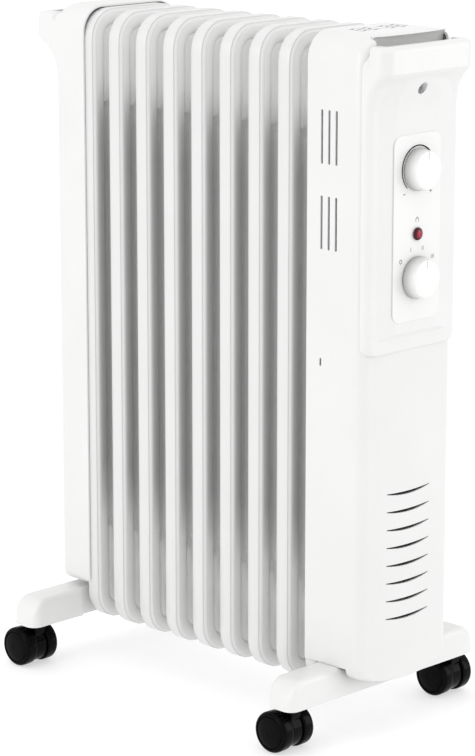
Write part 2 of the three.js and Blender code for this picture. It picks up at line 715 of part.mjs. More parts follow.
// ---- Handles ----
// A handle that flares out of a face at x = 0 towards +X and ends in a lip across the heater.
function gripHandle(reach, halfWidth, topZ) {
  const lipBottom = topZ - HANDLE_LIP_HEIGHT;
  const flareEnd = topZ - HANDLE_FLARE;
  const side = new THREE.Shape();
  side.moveTo(-HANDLE_ROOT, flareEnd);
  side.lineTo(0, flareEnd);
  side.quadraticCurveTo(1, lipBottom - FLARE_DROP, reach, lipBottom);
  side.lineTo(reach, topZ - HANDLE_EDGE);
  side.absarc(reach - HANDLE_EDGE, topZ - HANDLE_EDGE, HANDLE_EDGE, 0, Math.PI / 2);
  side.lineTo(-HANDLE_ROOT, topZ);
  const plan = roundedRect(
    [-HANDLE_ROOT - 2 * HANDLE_CORNER, reach],
    [-halfWidth, halfWidth],
    HANDLE_CORNER,
    HANDLE_CORNER,
  );
  return prism("y", side, [-halfWidth, halfWidth], 3).intersect(
    prism("z", plan, [flareEnd - BEYOND, topZ + BEYOND], 2),
  );
}

// The slot for the fingers behind the lip, open at the top.
function gripSlot(from, reach, topZ) {
  const slot = roundedRect(
    [from, reach - HANDLE_LIP_THICKNESS],
    [-GRIP_HALF_WIDTH, GRIP_HALF_WIDTH],
    GRIP_CORNER,
    GRIP_CORNER,
  );
  return prism("z", slot, [topZ - GRIP_DEPTH, topZ + BEYOND], 2);
}

// ---- Front panel, plate and screw ----
// Plan of the panel from above: a strip at each side, and a flat middle between two flanks that
// stands out by rise.
function panelPlan(inset, rise) {
  const half = SHELL_HALF_WIDTH - PANEL_INSET - inset;
  const radius = SHELL_SIDE_CORNER - inset;
  const strip = PANEL_X - inset;
  const middle = PANEL_X + rise - inset;
  const back = HOUSING_FRONT_X - SHELL_SIDE_CORNER;
  const turn = Math.PI / 2;
  const shape = new THREE.Shape();
  shape.moveTo(back, -half);
  shape.lineTo(strip - radius, -half);
  shape.absarc(strip - radius, -half + radius, radius, -turn, 0);
  shape.lineTo(strip, -PLATEAU_FOOT_HALF_WIDTH);
  shape.lineTo(middle, -PLATEAU_HALF_WIDTH);
  shape.lineTo(middle, PLATEAU_HALF_WIDTH);
  shape.lineTo(strip, PLATEAU_FOOT_HALF_WIDTH);
  shape.absarc(strip - radius, half - radius, radius, 0, turn);
  shape.lineTo(back, half);
  return shape;
}

// One level of the panel, from bottomZ up.
function panelLevel(inset, rise, bottomZ) {
  const half = SHELL_HALF_WIDTH - PANEL_INSET - inset;
  const elevation = roundedRect(
    [-half, half],
    [bottomZ + inset, PANEL_TOP_Z - inset],
    PANEL_BOTTOM_CORNER - inset,
    SHELL_TOP_CORNER - PANEL_INSET - inset,
  );
  const plan = prism("z", panelPlan(inset, rise), [bottomZ, PANEL_TOP_Z], 2);
  const depth = [HOUSING_FRONT_X - SHELL_SIDE_CORNER, PLATEAU_X + BEYOND];
  return plan.intersect(prism("x", elevation, depth, 2));
}

function panelBody(inset) {
  const field = panelLevel(inset, PLATEAU_RISE, PLATEAU_BOTTOM_Z);
  return panelLevel(inset, 0, PANEL_BOTTOM_Z).add(field);
}

// The housing grown by the gap between it and the panel, to cut the panel's back to its shape.
function housingClearance() {
  return prism("z", housingPlan(-GAP, HOUSING_BACK_X), [PANEL_BOTTOM_Z - BEYOND, SHELL_TOP_Z], 3);
}

// The pocket that holds the panel's screw.
function screwPocket() {
  return rod(
    "x",
    SCREW_POCKET_R,
    [HOUSING_CROWN_X + GAP + PANEL_WALL, PANEL_X + FRONT_HANDLE_REACH],
    [0, 0, PANEL_SCREW_Z],
    COARSE,
  );
}

// The front handle: its root has the panel's round top corners, and its lip has nearly square ones.
function frontHandle() {
  const half = SHELL_HALF_WIDTH - PANEL_INSET;
  const front = PANEL_X + FRONT_HANDLE_REACH + BEYOND;
  const whole = gripHandle(FRONT_HANDLE_REACH, half, PANEL_TOP_Z).translate([PANEL_X, 0, 0]);
  const upTo = [PANEL_BOTTOM_Z, PANEL_TOP_Z];
  const rootOutline = roundedRect([-half, half], upTo, 0, SHELL_TOP_CORNER - PANEL_INSET);
  const lipOutline = roundedRect([-half, half], upTo, 0, LIP_TOP_CORNER);
  const root = whole.intersect(prism("x", rootOutline, [PANEL_X - HANDLE_ROOT, front], 2));
  return root.add(whole.intersect(prism("x", lipOutline, [PANEL_X, front], 2)));
}

function frontPanel() {
  const slot = gripSlot(-PANEL_RISE, FRONT_HANDLE_REACH, PANEL_TOP_Z).translate([PANEL_X, 0, 0]);
  const skin = panelBody(0).subtract(panelBody(PANEL_WALL));
  const cuts = [slot, housingClearance(), screwPocket(), ...controlHoles()];
  return cutAll(skin.add(frontHandle()), cuts);
}

function panelScrew() {
  const seat = HOUSING_CROWN_X + 2 * GAP + PANEL_WALL;
  const profile = [
    [0, BRACKET_BACK_X - BEYOND],
    [SCREW_SHANK_R, BRACKET_BACK_X - BEYOND],
    [SCREW_SHANK_R, seat],
    [SCREW_HEAD_R, seat],
    [SCREW_HEAD_R, seat + SCREW_HEAD_EDGE],
    [0, seat + SCREW_HEAD_HEIGHT],
  ];
  return turned("x", profile, [0, 0, PANEL_SCREW_Z], COARSE);
}

function controlPlate() {
  const outline = roundedRect(
    [-PLATE_WIDTH / 2, PLATE_WIDTH / 2],
    [PLATE_BOTTOM_Z, PLATE_TOP_Z],
    PLATE_CORNER,
    PLATE_CORNER,
  );
  return cutAll(prism("x", outline, [PLATE_BACK_X, PLATE_FRONT_X], 2), controlHoles());
}

// ---- Controls ----
// The steel bracket behind the housing's front that carries the controls.
function controlBracket() {
  const plate = box(
    [BRACKET_BACK_X, BRACKET_FRONT_X],
    [-BRACKET_HALF_WIDTH, BRACKET_HALF_WIDTH],
    [SWITCH_Z - CONTROL_WIDTH, PANEL_SCREW_Z + SCREW_POCKET_R],
  );
  return cutAll(plate, controlHoles());
}

// A control body behind the bracket, with the threaded bush that its shaft turns in.
function controlUnit(z) {
  const half = CONTROL_WIDTH / 2;
  const body = box([CONTROL_BACK_X, CONTROL_FRONT_X], [-half, half], [z - half, z + half]);
  const bush = rod("x", BUSH_R, [CONTROL_FRONT_X - 1, CONTROL_FRONT_X + BUSH_LENGTH], [0, 0, z], COARSE);
  const bore = rod(
    "x",
    SHAFT_R + RUNNING_GAP,
    [CONTROL_FRONT_X - CONTROL_DEPTH / 2, CONTROL_FRONT_X + BUSH_LENGTH + BEYOND],
    [0, 0, z],
    COARSE,
  );
  return body.add(bush).subtract(bore);
}

function controlShaft(z) {
  const from = CONTROL_FRONT_X - CONTROL_DEPTH / 2 + GAP;
  const to = PLATE_FRONT_X + KNOB_HEIGHT / 2;
  return rod("x", SHAFT_R, [from, to], [0, 0, z], COARSE);
}

// A knob: skirt, tapered grip and flat face, with a pointer notch in the rim and a blind hole
// for the shaft.
function knob(z) {
  const base = PLATE_FRONT_X + GAP;
  const face = base + KNOB_HEIGHT;
  const boreR = SHAFT_R + GAP;
  const boreEnd = PLATE_FRONT_X + KNOB_HEIGHT / 2 + GAP;
  const profile = [
    [boreR, base],
    [KNOB_SKIRT_R, base],
    [KNOB_SKIRT_R, base + KNOB_RIM],
    [KNOB_FACE_R + KNOB_BEVEL / 2, face - KNOB_BEVEL],
    [KNOB_FACE_R - KNOB_BEVEL / 2, face],
    [0, face],
    [0, boreEnd],
    [boreR, boreEnd],
    [boreR, base],
  ];
  const notch = box(
    [face - POINTER_WIDTH / 2, face + BEYOND],
    [-POINTER_WIDTH / 2, POINTER_WIDTH / 2],
    [z + KNOB_FACE_R - POINTER_LENGTH, z + KNOB_FACE_R + BEYOND],
  );
  return turned("x", profile, [0, 0, z], FINE).subtract(notch);
}

function dialRing() {
  const inner = KNOB_SKIRT_R + RUNNING_GAP;
  const base = PLATE_FRONT_X + GAP;
  const profile = [
    [inner, base],
    [RING_R, base],
    [RING_R, base + RING_HEIGHT],
    [inner, base + RING_HEIGHT],
    [inner, base],
  ];
  return turned("x", profile, [0, 0, THERMOSTAT_Z], FINE);
}

function lampLens() {
  const front = PLATE_FRONT_X + GAP;
  const profile = [
    [0, BRACKET_FRONT_X + GAP],
    [LAMP_R, BRACKET_FRONT_X + GAP],
    [LAMP_R, front],
    [LENS_R, front],
    [LENS_R - LENS_BEVEL, front + LENS_DOME * LENS_SHOULDER],
    [0, front + LENS_DOME],
  ];
  return turned("x", profile, [0, 0, LAMP_Z], COARSE);
}

function lampBody() {
  return rod("x", LAMP_R, [BRACKET_FRONT_X - LAMP_LENGTH, BRACKET_FRONT_X], [0, 0, LAMP_Z], COARSE);
}

// ---- Rear cover ----
// The cover is modelled facing +X, with its outer face at x = 0, and turned round.
function coverBody(inset, depth) {
  const half = SHELL_HALF_WIDTH - inset;
  const corner = SHELL_SIDE_CORNER - inset;
  const bottom = SHELL_BOTTOM_Z + COVER_LIFT + inset;
  const plan = roundedRect([-depth - 2 * corner, -inset], [-half, half], corner, corner);
  const elevation = roundedRect(
    [-half, half],
    [bottom, SHELL_TOP_Z - inset],
    COVER_BOTTOM_CORNER - inset,
    SHELL_TOP_CORNER - inset,
  );
  return prism("z", plan, [bottom, SHELL_TOP_Z], 2).intersect(
    prism("x", elevation, [-depth, 0], 2),
  );
}

// A deep cover over the rear end of the stack, with the second handle.
function rearCover() {
  const half = SHELL_HALF_WIDTH;
  const shell = coverBody(0, COVER_DEPTH).subtract(coverBody(COVER_WALL, COVER_DEPTH + BEYOND));
  const outline = roundedRect(
    [-half, half],
    [SHELL_BOTTOM_Z, PANEL_TOP_Z],
    COVER_BOTTOM_CORNER,
    LIP_TOP_CORNER,
  );
  const reach = REAR_HANDLE_REACH;
  const handle = gripHandle(reach, half, PANEL_TOP_Z).intersect(
    prism("x", outline, [-HANDLE_ROOT, reach + BEYOND], 2),
  );
  const notch = box(
    [-COVER_DEPTH - BEYOND, -COVER_DEPTH + COVER_NOTCH],
    [-FOOT_BRACKET_HALF_WIDTH - GAP, FOOT_BRACKET_HALF_WIDTH + GAP],
    [SHELL_BOTTOM_Z, SHELL_BOTTOM_Z + COVER_LIFT + COVER_WALL + BEYOND],
  );
  return shell
    .add(handle)
    .subtract(gripSlot(GRIP_SETBACK, reach, PANEL_TOP_Z))
    .subtract(notch)
    .rotate([0, 0, 180])
    .translate([COVER_BACK_X, 0, 0]);
}

// ---- Feet ----
// The foot's outline from the front: flat top, rounded ends that lean in.
function footOutline(inset, bottom) {
  const half = FOOT_LENGTH / 2 - inset;
  const run = FOOT_END_RUN;
  const rise = FOOT_TOP_Z - FOOT_UNDERSIDE_Z - inset;
  const shape = new THREE.Shape();
  shape.moveTo(-half, bottom);
  shape.lineTo(half, bottom);
  shape.lineTo(half, FOOT_UNDERSIDE_Z);
  shape.absellipse(half - run, FOOT_UNDERSIDE_Z, run, rise, 0, Math.PI / 2);
  shape.lineTo(-half + run, FOOT_UNDERSIDE_Z + rise);
  shape.absellipse(-half + run, FOOT_UNDERSIDE_Z, run, rise, Math.PI / 2, Math.PI);
  return shape;
}

function footBody(inset, back, bottom) {
  const front = FOOT_WIDTH / 2 - inset;
  const half = FOOT_LENGTH / 2 - inset;
  const corner = FOOT_PLAN_CORNER - inset;
  const plan = roundedRect([back, front], [-half, half], corner, corner);
  return prism("z", plan, [bottom, FOOT_TOP_Z], 2).intersect(
    prism("x", footOutline(inset, bottom - 1), [back, front], 4),
  );
}

// A foot across the heater, with its fin side towards -X. The fin side is notched for the fin.
function foot() {
  const back = -FOOT_WIDTH / 2;
  const outer = footBody(0, back, FOOT_UNDERSIDE_Z);
  const notch = box(
    [back - BEYOND, back + FOOT_NOTCH],
    [-SHELL_HALF_WIDTH, SHELL_HALF_WIDTH],
    [FOOT_UNDERSIDE_Z - BEYOND, FOOT_TOP_Z + BEYOND],
  );
  const trough = footBody(FOOT_WALL, back + FOOT_NOTCH + FOOT_WALL, FOOT_UNDERSIDE_Z - BEYOND);
  const studHole = rod(
    "z",
    STUD_R + GAP,
    [FOOT_UNDERSIDE_Z, FOOT_TOP_Z + BEYOND],
    [0, 0, 0],
    COARSE,
  );
  const sockets = [-1, 1].map(socket);
  return cutAll(
    outer.subtract(notch).subtract(trough).add(sockets[0].wall).add(sockets[1].wall),
    [sockets[0].bore, sockets[1].bore, studHole],
  );
}

// The socket that a castor's stem turns in.
function socket(side) {
  const y = (side * CASTOR_SPACING) / 2;
  const wallR = STEM_R + RUNNING_GAP + SOCKET_WALL;
  const top = FOOT_TOP_Z - FOOT_WALL / 2;
  const boreTop = FOOT_UNDERSIDE_Z + STEM_LENGTH - SOCKET_WALL;
  return {
    wall: rod("z", wallR, [FOOT_UNDERSIDE_Z, top], [0, y, 0], COARSE),
    bore: rod("z", STEM_R + RUNNING_GAP, [FOOT_UNDERSIDE_Z - BEYOND, boreTop], [0, y, 0], COARSE),
  };
}

// The bracket that hangs a foot from the bottom header: a plate round the neck, bent out over
// the foot, with a stud through the foot's top. It is modelled with the fin at x = 0.
function footBracket(offset) {
  const back = HEADER_DOME_THICKNESS / 2 + GAP;
  const front = back + FOOT_BRACKET_THICKNESS;
  const shelfZ = FOOT_TOP_Z + GAP;
  const width = [-FOOT_BRACKET_HALF_WIDTH, FOOT_BRACKET_HALF_WIDTH];
  const plate = box([back, front], width, [shelfZ, BOTTOM_HEADER_Z + FOOT_BRACKET_RISE]);
  const shelf = box(
    [back, offset + NUT_R + FOOT_BRACKET_THICKNESS],
    width,
    [shelfZ, shelfZ + FOOT_BRACKET_THICKNESS],
  );
  const neck = rod("x", NECK_R + GAP, [0, FIN_PITCH], [0, 0, BOTTOM_HEADER_Z], COARSE);
  const stud = rod("z", STUD_R, [shelfZ - STUD_LENGTH, shelfZ + 1], [offset, 0, 0], COARSE);
  return plate.add(shelf).subtract(neck).add(stud);
}

// A wing nut under the foot's top, on the bracket's stud.
function wingNut(x) {
  const top = FOOT_TOP_Z - FOOT_WALL - GAP;
  const wings = box(
    [x - WING_THICKNESS / 2, x + WING_THICKNESS / 2],
    [-WING_SPAN, WING_SPAN],
    [top - 2 * NUT_HEIGHT, top - NUT_HEIGHT / 2],
  );
  const nut = rod("z", NUT_R, [top - NUT_HEIGHT, top], [x, 0, 0], HEX);
  const bore = rod("z", STUD_R + GAP, [top - 3 * NUT_HEIGHT, top + BEYOND], [x, 0, 0], COARSE);
  return nut.add(wings).subtract(bore);
}

// ---- Castors ----
function castorStem(x, y) {
  const boreTop = FOOT_UNDERSIDE_Z + STEM_LENGTH - SOCKET_WALL;
  const from = FOOT_UNDERSIDE_Z - GAP - STEM_SEAT;
  return rod("z", STEM_R, [from, boreTop - GAP], [x, y, 0], COARSE);
}

// The body between the two wheels, with the post that the stem sits in.
function castorBody(x, y) {
  const axleX = x - CASTOR_TRAIL;
  const half = HOOD_WIDTH / 2;
  const top = FOOT_UNDERSIDE_Z - GAP;
  const seat = [top - STEM_SEAT - GAP, top + BEYOND];
  const disc = rod("y", HOOD_R, [-half, half], [axleX, y, AXLE_Z], WHEEL_SIDES);
  const post = box([x - half, x + half], [y - half, y + half], [AXLE_Z, top]);
  const stemHole = rod("z", STEM_R + GAP, seat, [x, y, 0], COARSE);
  const axleHole = rod("y", AXLE_R + GAP, [-HOOD_WIDTH, HOOD_WIDTH], [axleX, y, AXLE_Z], COARSE);
  return disc.add(post).subtract(stemHole).subtract(axleHole);
}

function castorAxle(x, y) {
  const axleX = x - CASTOR_TRAIL;
  return rod("y", AXLE_R, [-AXLE_HALF_LENGTH, AXLE_HALF_LENGTH], [axleX, y, AXLE_Z], COARSE);
}

// A wheel with a closed outer face. side is -1 or 1 along Y.
function wheel(x, y, side) {
  const inner = HOOD_WIDTH / 2 + GAP;
  const outer = inner + WHEEL_WIDTH;
  const bore = AXLE_R + RUNNING_GAP;
  const boreEnd = outer - AXLE_COVER;
  const profile = [
    [0, boreEnd],
    [bore, boreEnd],
    [bore, inner],
    [WHEEL_R - WHEEL_BEVEL, inner],
    [WHEEL_R, inner + WHEEL_BEVEL],
    [WHEEL_R, outer - WHEEL_ROUND],
    [WHEEL_R - WHEEL_ROUND, outer],
    [0, outer],
  ];
  const upright = turned("y", profile, [0, 0, 0], WHEEL_SIDES);
  const turnedRound = side > 0 ? upright : upright.rotate([0, 0, 180]);
  return turnedRound.translate([x - CASTOR_TRAIL, y, AXLE_Z]);
}

// ---- Assembly ----
const heater = new THREE.Group();

function place(name, solid, material) {
  heater.add(meshOf(name, solid, material));
}

for (let i = 0; i < FIN_COUNT; i += 1) {
  place(`fin_${i + 1}`, fin(FIRST_FIN_X + i * FIN_PITCH), WHITE_ENAMEL);
}
place("oil_filler_plug", fillerPlug(), BRASS);
place("rear_header_cap", headerCap(-1, BOTTOM_HEADER_Z), STEEL);
place("front_header_cap", headerCap(1, TOP_HEADER_Z), STEEL);
place("heating_element", heatingElement(), STEEL);
place("element_flange", elementFlange(), BRASS);
place("terminal_block", terminalBlock(), CREAM_PLASTIC);
place("wiring", wiring(), WIRE_RED);
place("thermal_cutout", thermalCutout(), CREAM_PLASTIC);
place("cord_gland", cordGland(), WHITE_PLASTIC);
place("rear_cover", rearCover(), WHITE_PLASTIC);
place("housing", housing(), WHITE_ENAMEL);
place("front_panel", frontPanel(), WHITE_PLASTIC);
place("panel_screw", panelScrew(), STEEL);
place("control_plate", controlPlate(), WHITE_PLASTIC);
place("control_bracket", controlBracket(), STEEL);
place("thermostat", controlUnit(THERMOSTAT_Z), CREAM_PLASTIC);
place("thermostat_shaft", controlShaft(THERMOSTAT_Z), STEEL);
place("thermostat_knob", knob(THERMOSTAT_Z), WHITE_PLASTIC);
place("dial_ring", dialRing(), BLACK_PLASTIC);
place("rotary_switch", controlUnit(SWITCH_Z), CREAM_PLASTIC);
place("switch_shaft", controlShaft(SWITCH_Z), STEEL);
place("switch_knob", knob(SWITCH_Z), WHITE_PLASTIC);
place("lamp_lens", lampLens(), RED_LENS);
place("lamp_body", lampBody(), CREAM_PLASTIC);

const FEET = [
  { end: "front", x: FRONT_FOOT_X, finX: LAST_FIN_X, offset: FRONT_FOOT_OFFSET, turn: 0 },
  { end: "rear", x: REAR_FOOT_X, finX: FIRST_FIN_X, offset: REAR_FOOT_OFFSET, turn: 180 },
];
for (const { end, x, finX, offset, turn } of FEET) {
  const facing = [0, 0, turn];
  place(`${end}_foot`, foot().rotate(facing).translate([x, 0, 0]), WHITE_PLASTIC);
  place(
    `${end}_foot_bracket`,
    footBracket(offset).rotate(facing).translate([finX, 0, 0]),
    STEEL,
  );
  place(`${end}_wing_nut`, wingNut(x), STEEL);
  for (const [hand, side] of [["left", -1], ["right", 1]]) {
    const y = (side * CASTOR_SPACING) / 2;
    const castor = `${end}_${hand}_castor`;
    place(`${castor}_stem`, castorStem(x, y), STEEL);
    place(`${castor}_body`, castorBody(x, y), BLACK_PLASTIC);
    place(`${castor}_axle`, castorAxle(x, y), STEEL);
    place(`${castor}_wheel_left`, wheel(x, y, -1), BLACK_PLASTIC);
    place(`${castor}_wheel_right`, wheel(x, y, 1), BLACK_PLASTIC);
  }
}

export default heater;
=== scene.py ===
import math

import bmesh
import bpy
from mathutils import Matrix, Vector


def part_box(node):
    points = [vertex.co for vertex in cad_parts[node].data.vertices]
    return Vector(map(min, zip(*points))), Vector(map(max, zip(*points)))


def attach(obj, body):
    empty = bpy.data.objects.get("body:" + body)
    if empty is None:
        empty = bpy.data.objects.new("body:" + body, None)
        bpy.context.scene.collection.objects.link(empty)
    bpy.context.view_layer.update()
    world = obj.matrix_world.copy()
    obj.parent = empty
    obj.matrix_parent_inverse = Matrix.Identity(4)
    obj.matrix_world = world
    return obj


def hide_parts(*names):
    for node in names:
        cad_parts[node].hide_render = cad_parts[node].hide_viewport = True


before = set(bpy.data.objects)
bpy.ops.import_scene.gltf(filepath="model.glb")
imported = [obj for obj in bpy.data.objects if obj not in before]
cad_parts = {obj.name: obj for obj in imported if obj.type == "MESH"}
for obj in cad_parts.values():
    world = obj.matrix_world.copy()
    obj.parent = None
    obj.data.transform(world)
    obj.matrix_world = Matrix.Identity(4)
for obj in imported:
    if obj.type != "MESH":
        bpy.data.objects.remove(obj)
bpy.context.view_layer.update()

# ---- Fins ----
# Nine pressed steel fins in white stove enamel. Each is two sheets welded together, with a folded
# rim, a raised oil body with a long pocket at each side, and a round boss at each header.
FIN_HALF_WIDTH = 57.5
FIN_LOW = 38.5
FIN_HIGH = 622.0
FIN_CORNER = 27.0
FIN_CENTRES = [(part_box(f"fin_{i}")[0][0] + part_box(f"fin_{i}")[1][0]) * 500 for i in range(1, 10)]
HEADER_HEIGHTS = (102.5, 558.0)
RIM = [(5.9, 0.0), (6.1, 0.15), (6.2, 0.85), (6.6, 0.9), (7.0, 0.72), (7.5, 0.85), (8.0, 1.25),
       (8.4, 1.8), (8.7, 2.6), (8.9, 3.6), (9.0, 5.0), (9.0, 7.4), (9.0, 9.8), (8.7, 11.4),
       (7.6, 13.0), (5.6, 14.4)]
# Painted shade on the fins: a colour scale by inset from the fin's edge, darker in the folds and
# pockets between fins.
FIN_SHADE_BY_INSET = [(0.0, 0.7), (0.5, 0.7), (0.85, 0.6), (1.3, 0.74), (2.6, 0.74), (4.0, 0.62),
                 (6.0, 0.5), (9.0, 0.46), (13.0, 0.5), (16.0, 0.6), (20.0, 0.72), (60.0, 0.72)]
SHEET_INSETS = [16, 18, 20, 22.5, 25, 28, 31, 34, 37, 40, 43, 46, 49, 52, 55, 57.3]


def finish(name, colour, roughness, bump=0.02, grain=900.0, metallic=0.0, coat=0.0, shade=0.03,
           specular=0.5, with_painted_shade=False):
    """A finish with fine grain: the colour, roughness and surface all vary a little.

    With painted shade, the colour is also scaled by a value stored at each point of the mesh, which
    paints in shade and light."""
    material = bpy.data.materials.new(name)
    material.use_nodes = True
    nodes = material.node_tree.nodes
    links = material.node_tree.links
    shader = nodes["Principled BSDF"]
    shader.inputs["Metallic"].default_value = metallic
    shader.inputs["Coat Weight"].default_value = coat
    shader.inputs["Specular IOR Level"].default_value = specular
    shader.inputs["Coat Roughness"].default_value = 0.08
    place = nodes.new("ShaderNodeTexCoord")
    cloud = nodes.new("ShaderNodeTexNoise")
    cloud.inputs["Scale"].default_value = 14.0
    cloud.inputs["Detail"].default_value = 4.0
    peel = nodes.new("ShaderNodeTexNoise")
    peel.inputs["Scale"].default_value = grain
    peel.inputs["Detail"].default_value = 2.0
    tone = nodes.new("ShaderNodeValToRGB")
    tone.color_ramp.elements[0].position = 0.3
    tone.color_ramp.elements[0].color = [c * (1 - shade) for c in colour] + [1]
    tone.color_ramp.elements[1].position = 0.7
    tone.color_ramp.elements[1].color = list(colour) + [1]
    gloss = nodes.new("ShaderNodeMapRange")
    gloss.inputs["To Min"].default_value = roughness * 0.85
    gloss.inputs["To Max"].default_value = min(1.0, roughness * 1.15)
    relief = nodes.new("ShaderNodeBump")
    relief.inputs["Strength"].default_value = bump
    relief.inputs["Distance"].default_value = 0.0004
    links.new(place.outputs["Object"], cloud.inputs["Vector"])
    links.new(place.outputs["Object"], peel.inputs["Vector"])
    links.new(cloud.outputs["Fac"], tone.inputs["Fac"])
    # Painted shade: the colour is scaled by a value stored at each point of the mesh.
    if with_painted_shade:
        painted_shade = nodes.new("ShaderNodeAttribute")
        painted_shade.attribute_name = "painted_shade"
        cover = nodes.new("ShaderNodeVectorMath")
        cover.operation = "SCALE"
        links.new(tone.outputs["Color"], cover.inputs[0])
        links.new(painted_shade.outputs["Fac"], cover.inputs["Scale"])
        links.new(cover.outputs["Vector"], shader.inputs["Base Color"])
    else:
        links.new(tone.outputs["Color"], shader.inputs["Base Color"])
    links.new(peel.outputs["Fac"], gloss.inputs["Value"])
    links.new(gloss.outputs["Result"], shader.inputs["Roughness"])
    links.new(peel.outputs["Fac"], relief.inputs["Height"])
    links.new(relief.outputs["Normal"], shader.inputs["Normal"])
    return material


def piece(name, points, faces, material, smooth_below=32):
    """A piece from points in millimetres, shaded smooth where its faces meet gently."""
    mesh = bpy.data.meshes.new(name)
    mesh.from_pydata([(x / 1000, y / 1000, z / 1000) for x, y, z in points], [], faces)
    work = bmesh.new()
    work.from_mesh(mesh)
    bmesh.ops.remove_doubles(work, verts=work.verts, dist=1e-6)
    bmesh.ops.recalc_face_normals(work, faces=work.faces)
    work.to_mesh(mesh)
    work.free()
    mesh.materials.append(material)
    made = bpy.data.objects.new(name, mesh)
    bpy.context.scene.collection.objects.link(made)
    soften(made, smooth_below)
    return made


def soften(made, smooth_below=32):
    made.data.shade_smooth()
    made.data.set_sharp_from_angle(angle=math.radians(smooth_below))


def skin(rings):
    """Points and faces of a closed skin over rings with the same number of points."""
    count = len(rings[0])
    points = [point for ring in rings for point in ring]
    faces = []
    for level in range(len(rings) - 1):
        for i in range(count):
            a = level * count + i
            b = level * count + (i + 1) % count
            faces.append((a, b, b + count, a + count))
    faces.append(tuple(reversed(range(count))))
    faces.append(tuple(range((len(rings) - 1) * count, len(rings) * count)))
    return points, faces


def smoothstep(low, high, value):
    """Runs from 0 at low to 1 at high, level at both ends. High may be below low."""
    t = min(1.0, max(0.0, (value - low) / (high - low)))
    return t * t * (3 - 2 * t)


def side_steps(length):
    """Fractions along a fin's long side: close together beside the bosses, wider between."""
    near = [4.0 * i for i in range(1, 22)]
    middle = [84 + (length - 168) * i / 14 for i in range(1, 14)]
    far = [length - step for step in reversed(near)]
    return [step / length for step in near + middle + far]


def fin_outline(inset):
    half = FIN_HALF_WIDTH - inset
    low = FIN_LOW + inset
    high = FIN_HIGH - inset
    radius = min(max(FIN_CORNER - inset, 5.0), half)
    corners = [(half - radius, low + radius, -90), (half - radius, high - radius, 0),
               (radius - half, high - radius, 90), (radius - half, low + radius, 180)]
    steps = side_steps(FIN_HIGH - FIN_LOW)
    ends = [i / 6 for i in range(1, 6)]
    outline = []
    for i, (y, z, start) in enumerate(corners):
        arc = [
            (y + radius * math.cos(math.radians(start + 15 * k)),
             z + radius * math.sin(math.radians(start + 15 * k)))
            for k in range(7)
        ]
        outline += arc
        ny, nz, nstart = corners[(i + 1) % 4]
        nxt = (ny + radius * math.cos(math.radians(nstart)),
               nz + radius * math.sin(math.radians(nstart)))
        for t in steps if i in (0, 2) else ends:
            outline.append((arc[-1][0] + (nxt[0] - arc[-1][0]) * t,
                            arc[-1][1] + (nxt[1] - arc[-1][1]) * t))
    return outline


def sheet_height(y, z):
    """How far the pressed sheet stands off the fin's middle plane."""
    along = min(528.5, max(140.0, z))
    pocket = math.hypot(abs(y) - 39.5, z - along)
    height = 2.6 + 4.6 * smoothstep(4.5, 7.5, pocket)
    channel = math.hypot(abs(y) - 12.0, z - min(501.5, max(160.0, z)))
    height -= 1.6 * (1 - smoothstep(1.5, 4.5, channel))
    for header in HEADER_HEIGHTS:
        r = math.hypot(y, z - header)
        boss = 17.5 - 11.0 * smoothstep(22.5, 42.0, r)
        if r < 42.0:
            height = max(height, boss)
    return height


def fin_points(side):
    rings = [[(side * x, y, z) for y, z in fin_outline(inset)] for x, inset in RIM]
    for inset in SHEET_INSETS:
        rings.append([(side * sheet_height(y, z), y, z) for y, z in fin_outline(inset)])
    return rings


def fin_shade_at(y, z):
    """Painted shade and painted light on a fin, as a colour scale: a thin dark line at the rim's
    edge, darkest in the folds and pockets between fins, and lighter deeper in and near the headers.
    """
    in_y = FIN_HALF_WIDTH - abs(y)
    in_z = (FIN_HIGH - FIN_LOW) / 2 - abs(z - (FIN_LOW + FIN_HIGH) / 2)
    inset = min(in_y, in_z)
    if max(in_y, in_z) < FIN_CORNER:
        inset = FIN_CORNER - math.hypot(FIN_CORNER - in_y, FIN_CORNER - in_z)
    coat = FIN_SHADE_BY_INSET[-1][1]
    for (near, start), (far, end) in zip(FIN_SHADE_BY_INSET, FIN_SHADE_BY_INSET[1:]):
        if near <= inset < far:
            coat = start + (end - start) * (inset - near) / (far - near)
            break
    near_headers = max(smoothstep(500, 570, z), 0.75 * smoothstep(190, 140, z))
    header_light = near_headers * smoothstep(1.5, 5.0, inset)
    return coat + (0.86 - coat) * header_light


def painted_shade(mesh, shade_at):
    """Stores a painted shade at each point as a colour scale, from the point's place in millimetres.
    """
    coats = [shade_at(*(1000 * v.co)) for v in mesh.vertices]
    mesh.attributes.new("painted_shade", "FLOAT", "POINT").data.foreach_set("value", coats)


enamel = finish("white_enamel", (0.74, 0.74, 0.735), 0.3, bump=0.03, grain=700, coat=0.3)
# The fins' white carries painted shade between the fins and painted light near the headers.
fin_enamel = finish("white_fin_enamel", (1.0, 1.0, 0.993), 0.32, bump=0.03, grain=700, coat=0.2,
                    with_painted_shade=True)
front_rings = fin_points(1)
back_rings = fin_points(-1)
points, faces = skin(list(reversed(front_rings)) + back_rings)
fin_mesh = None
for i, centre in enumerate(FIN_CENTRES):
    if fin_mesh is None:
        made = piece("pressed_fin_1", points, faces, fin_enamel, 50)
        fin_mesh = made.data
        painted_shade(fin_mesh, lambda x, y, z: fin_shade_at(y, z))
    else:
        made = bpy.data.objects.new(f"pressed_fin_{i + 1}", fin_mesh)
        bpy.context.scene.collection.objects.link(made)
    made.location.x = centre / 1000
    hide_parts(f"fin_{i + 1}")
    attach(made, "frame")

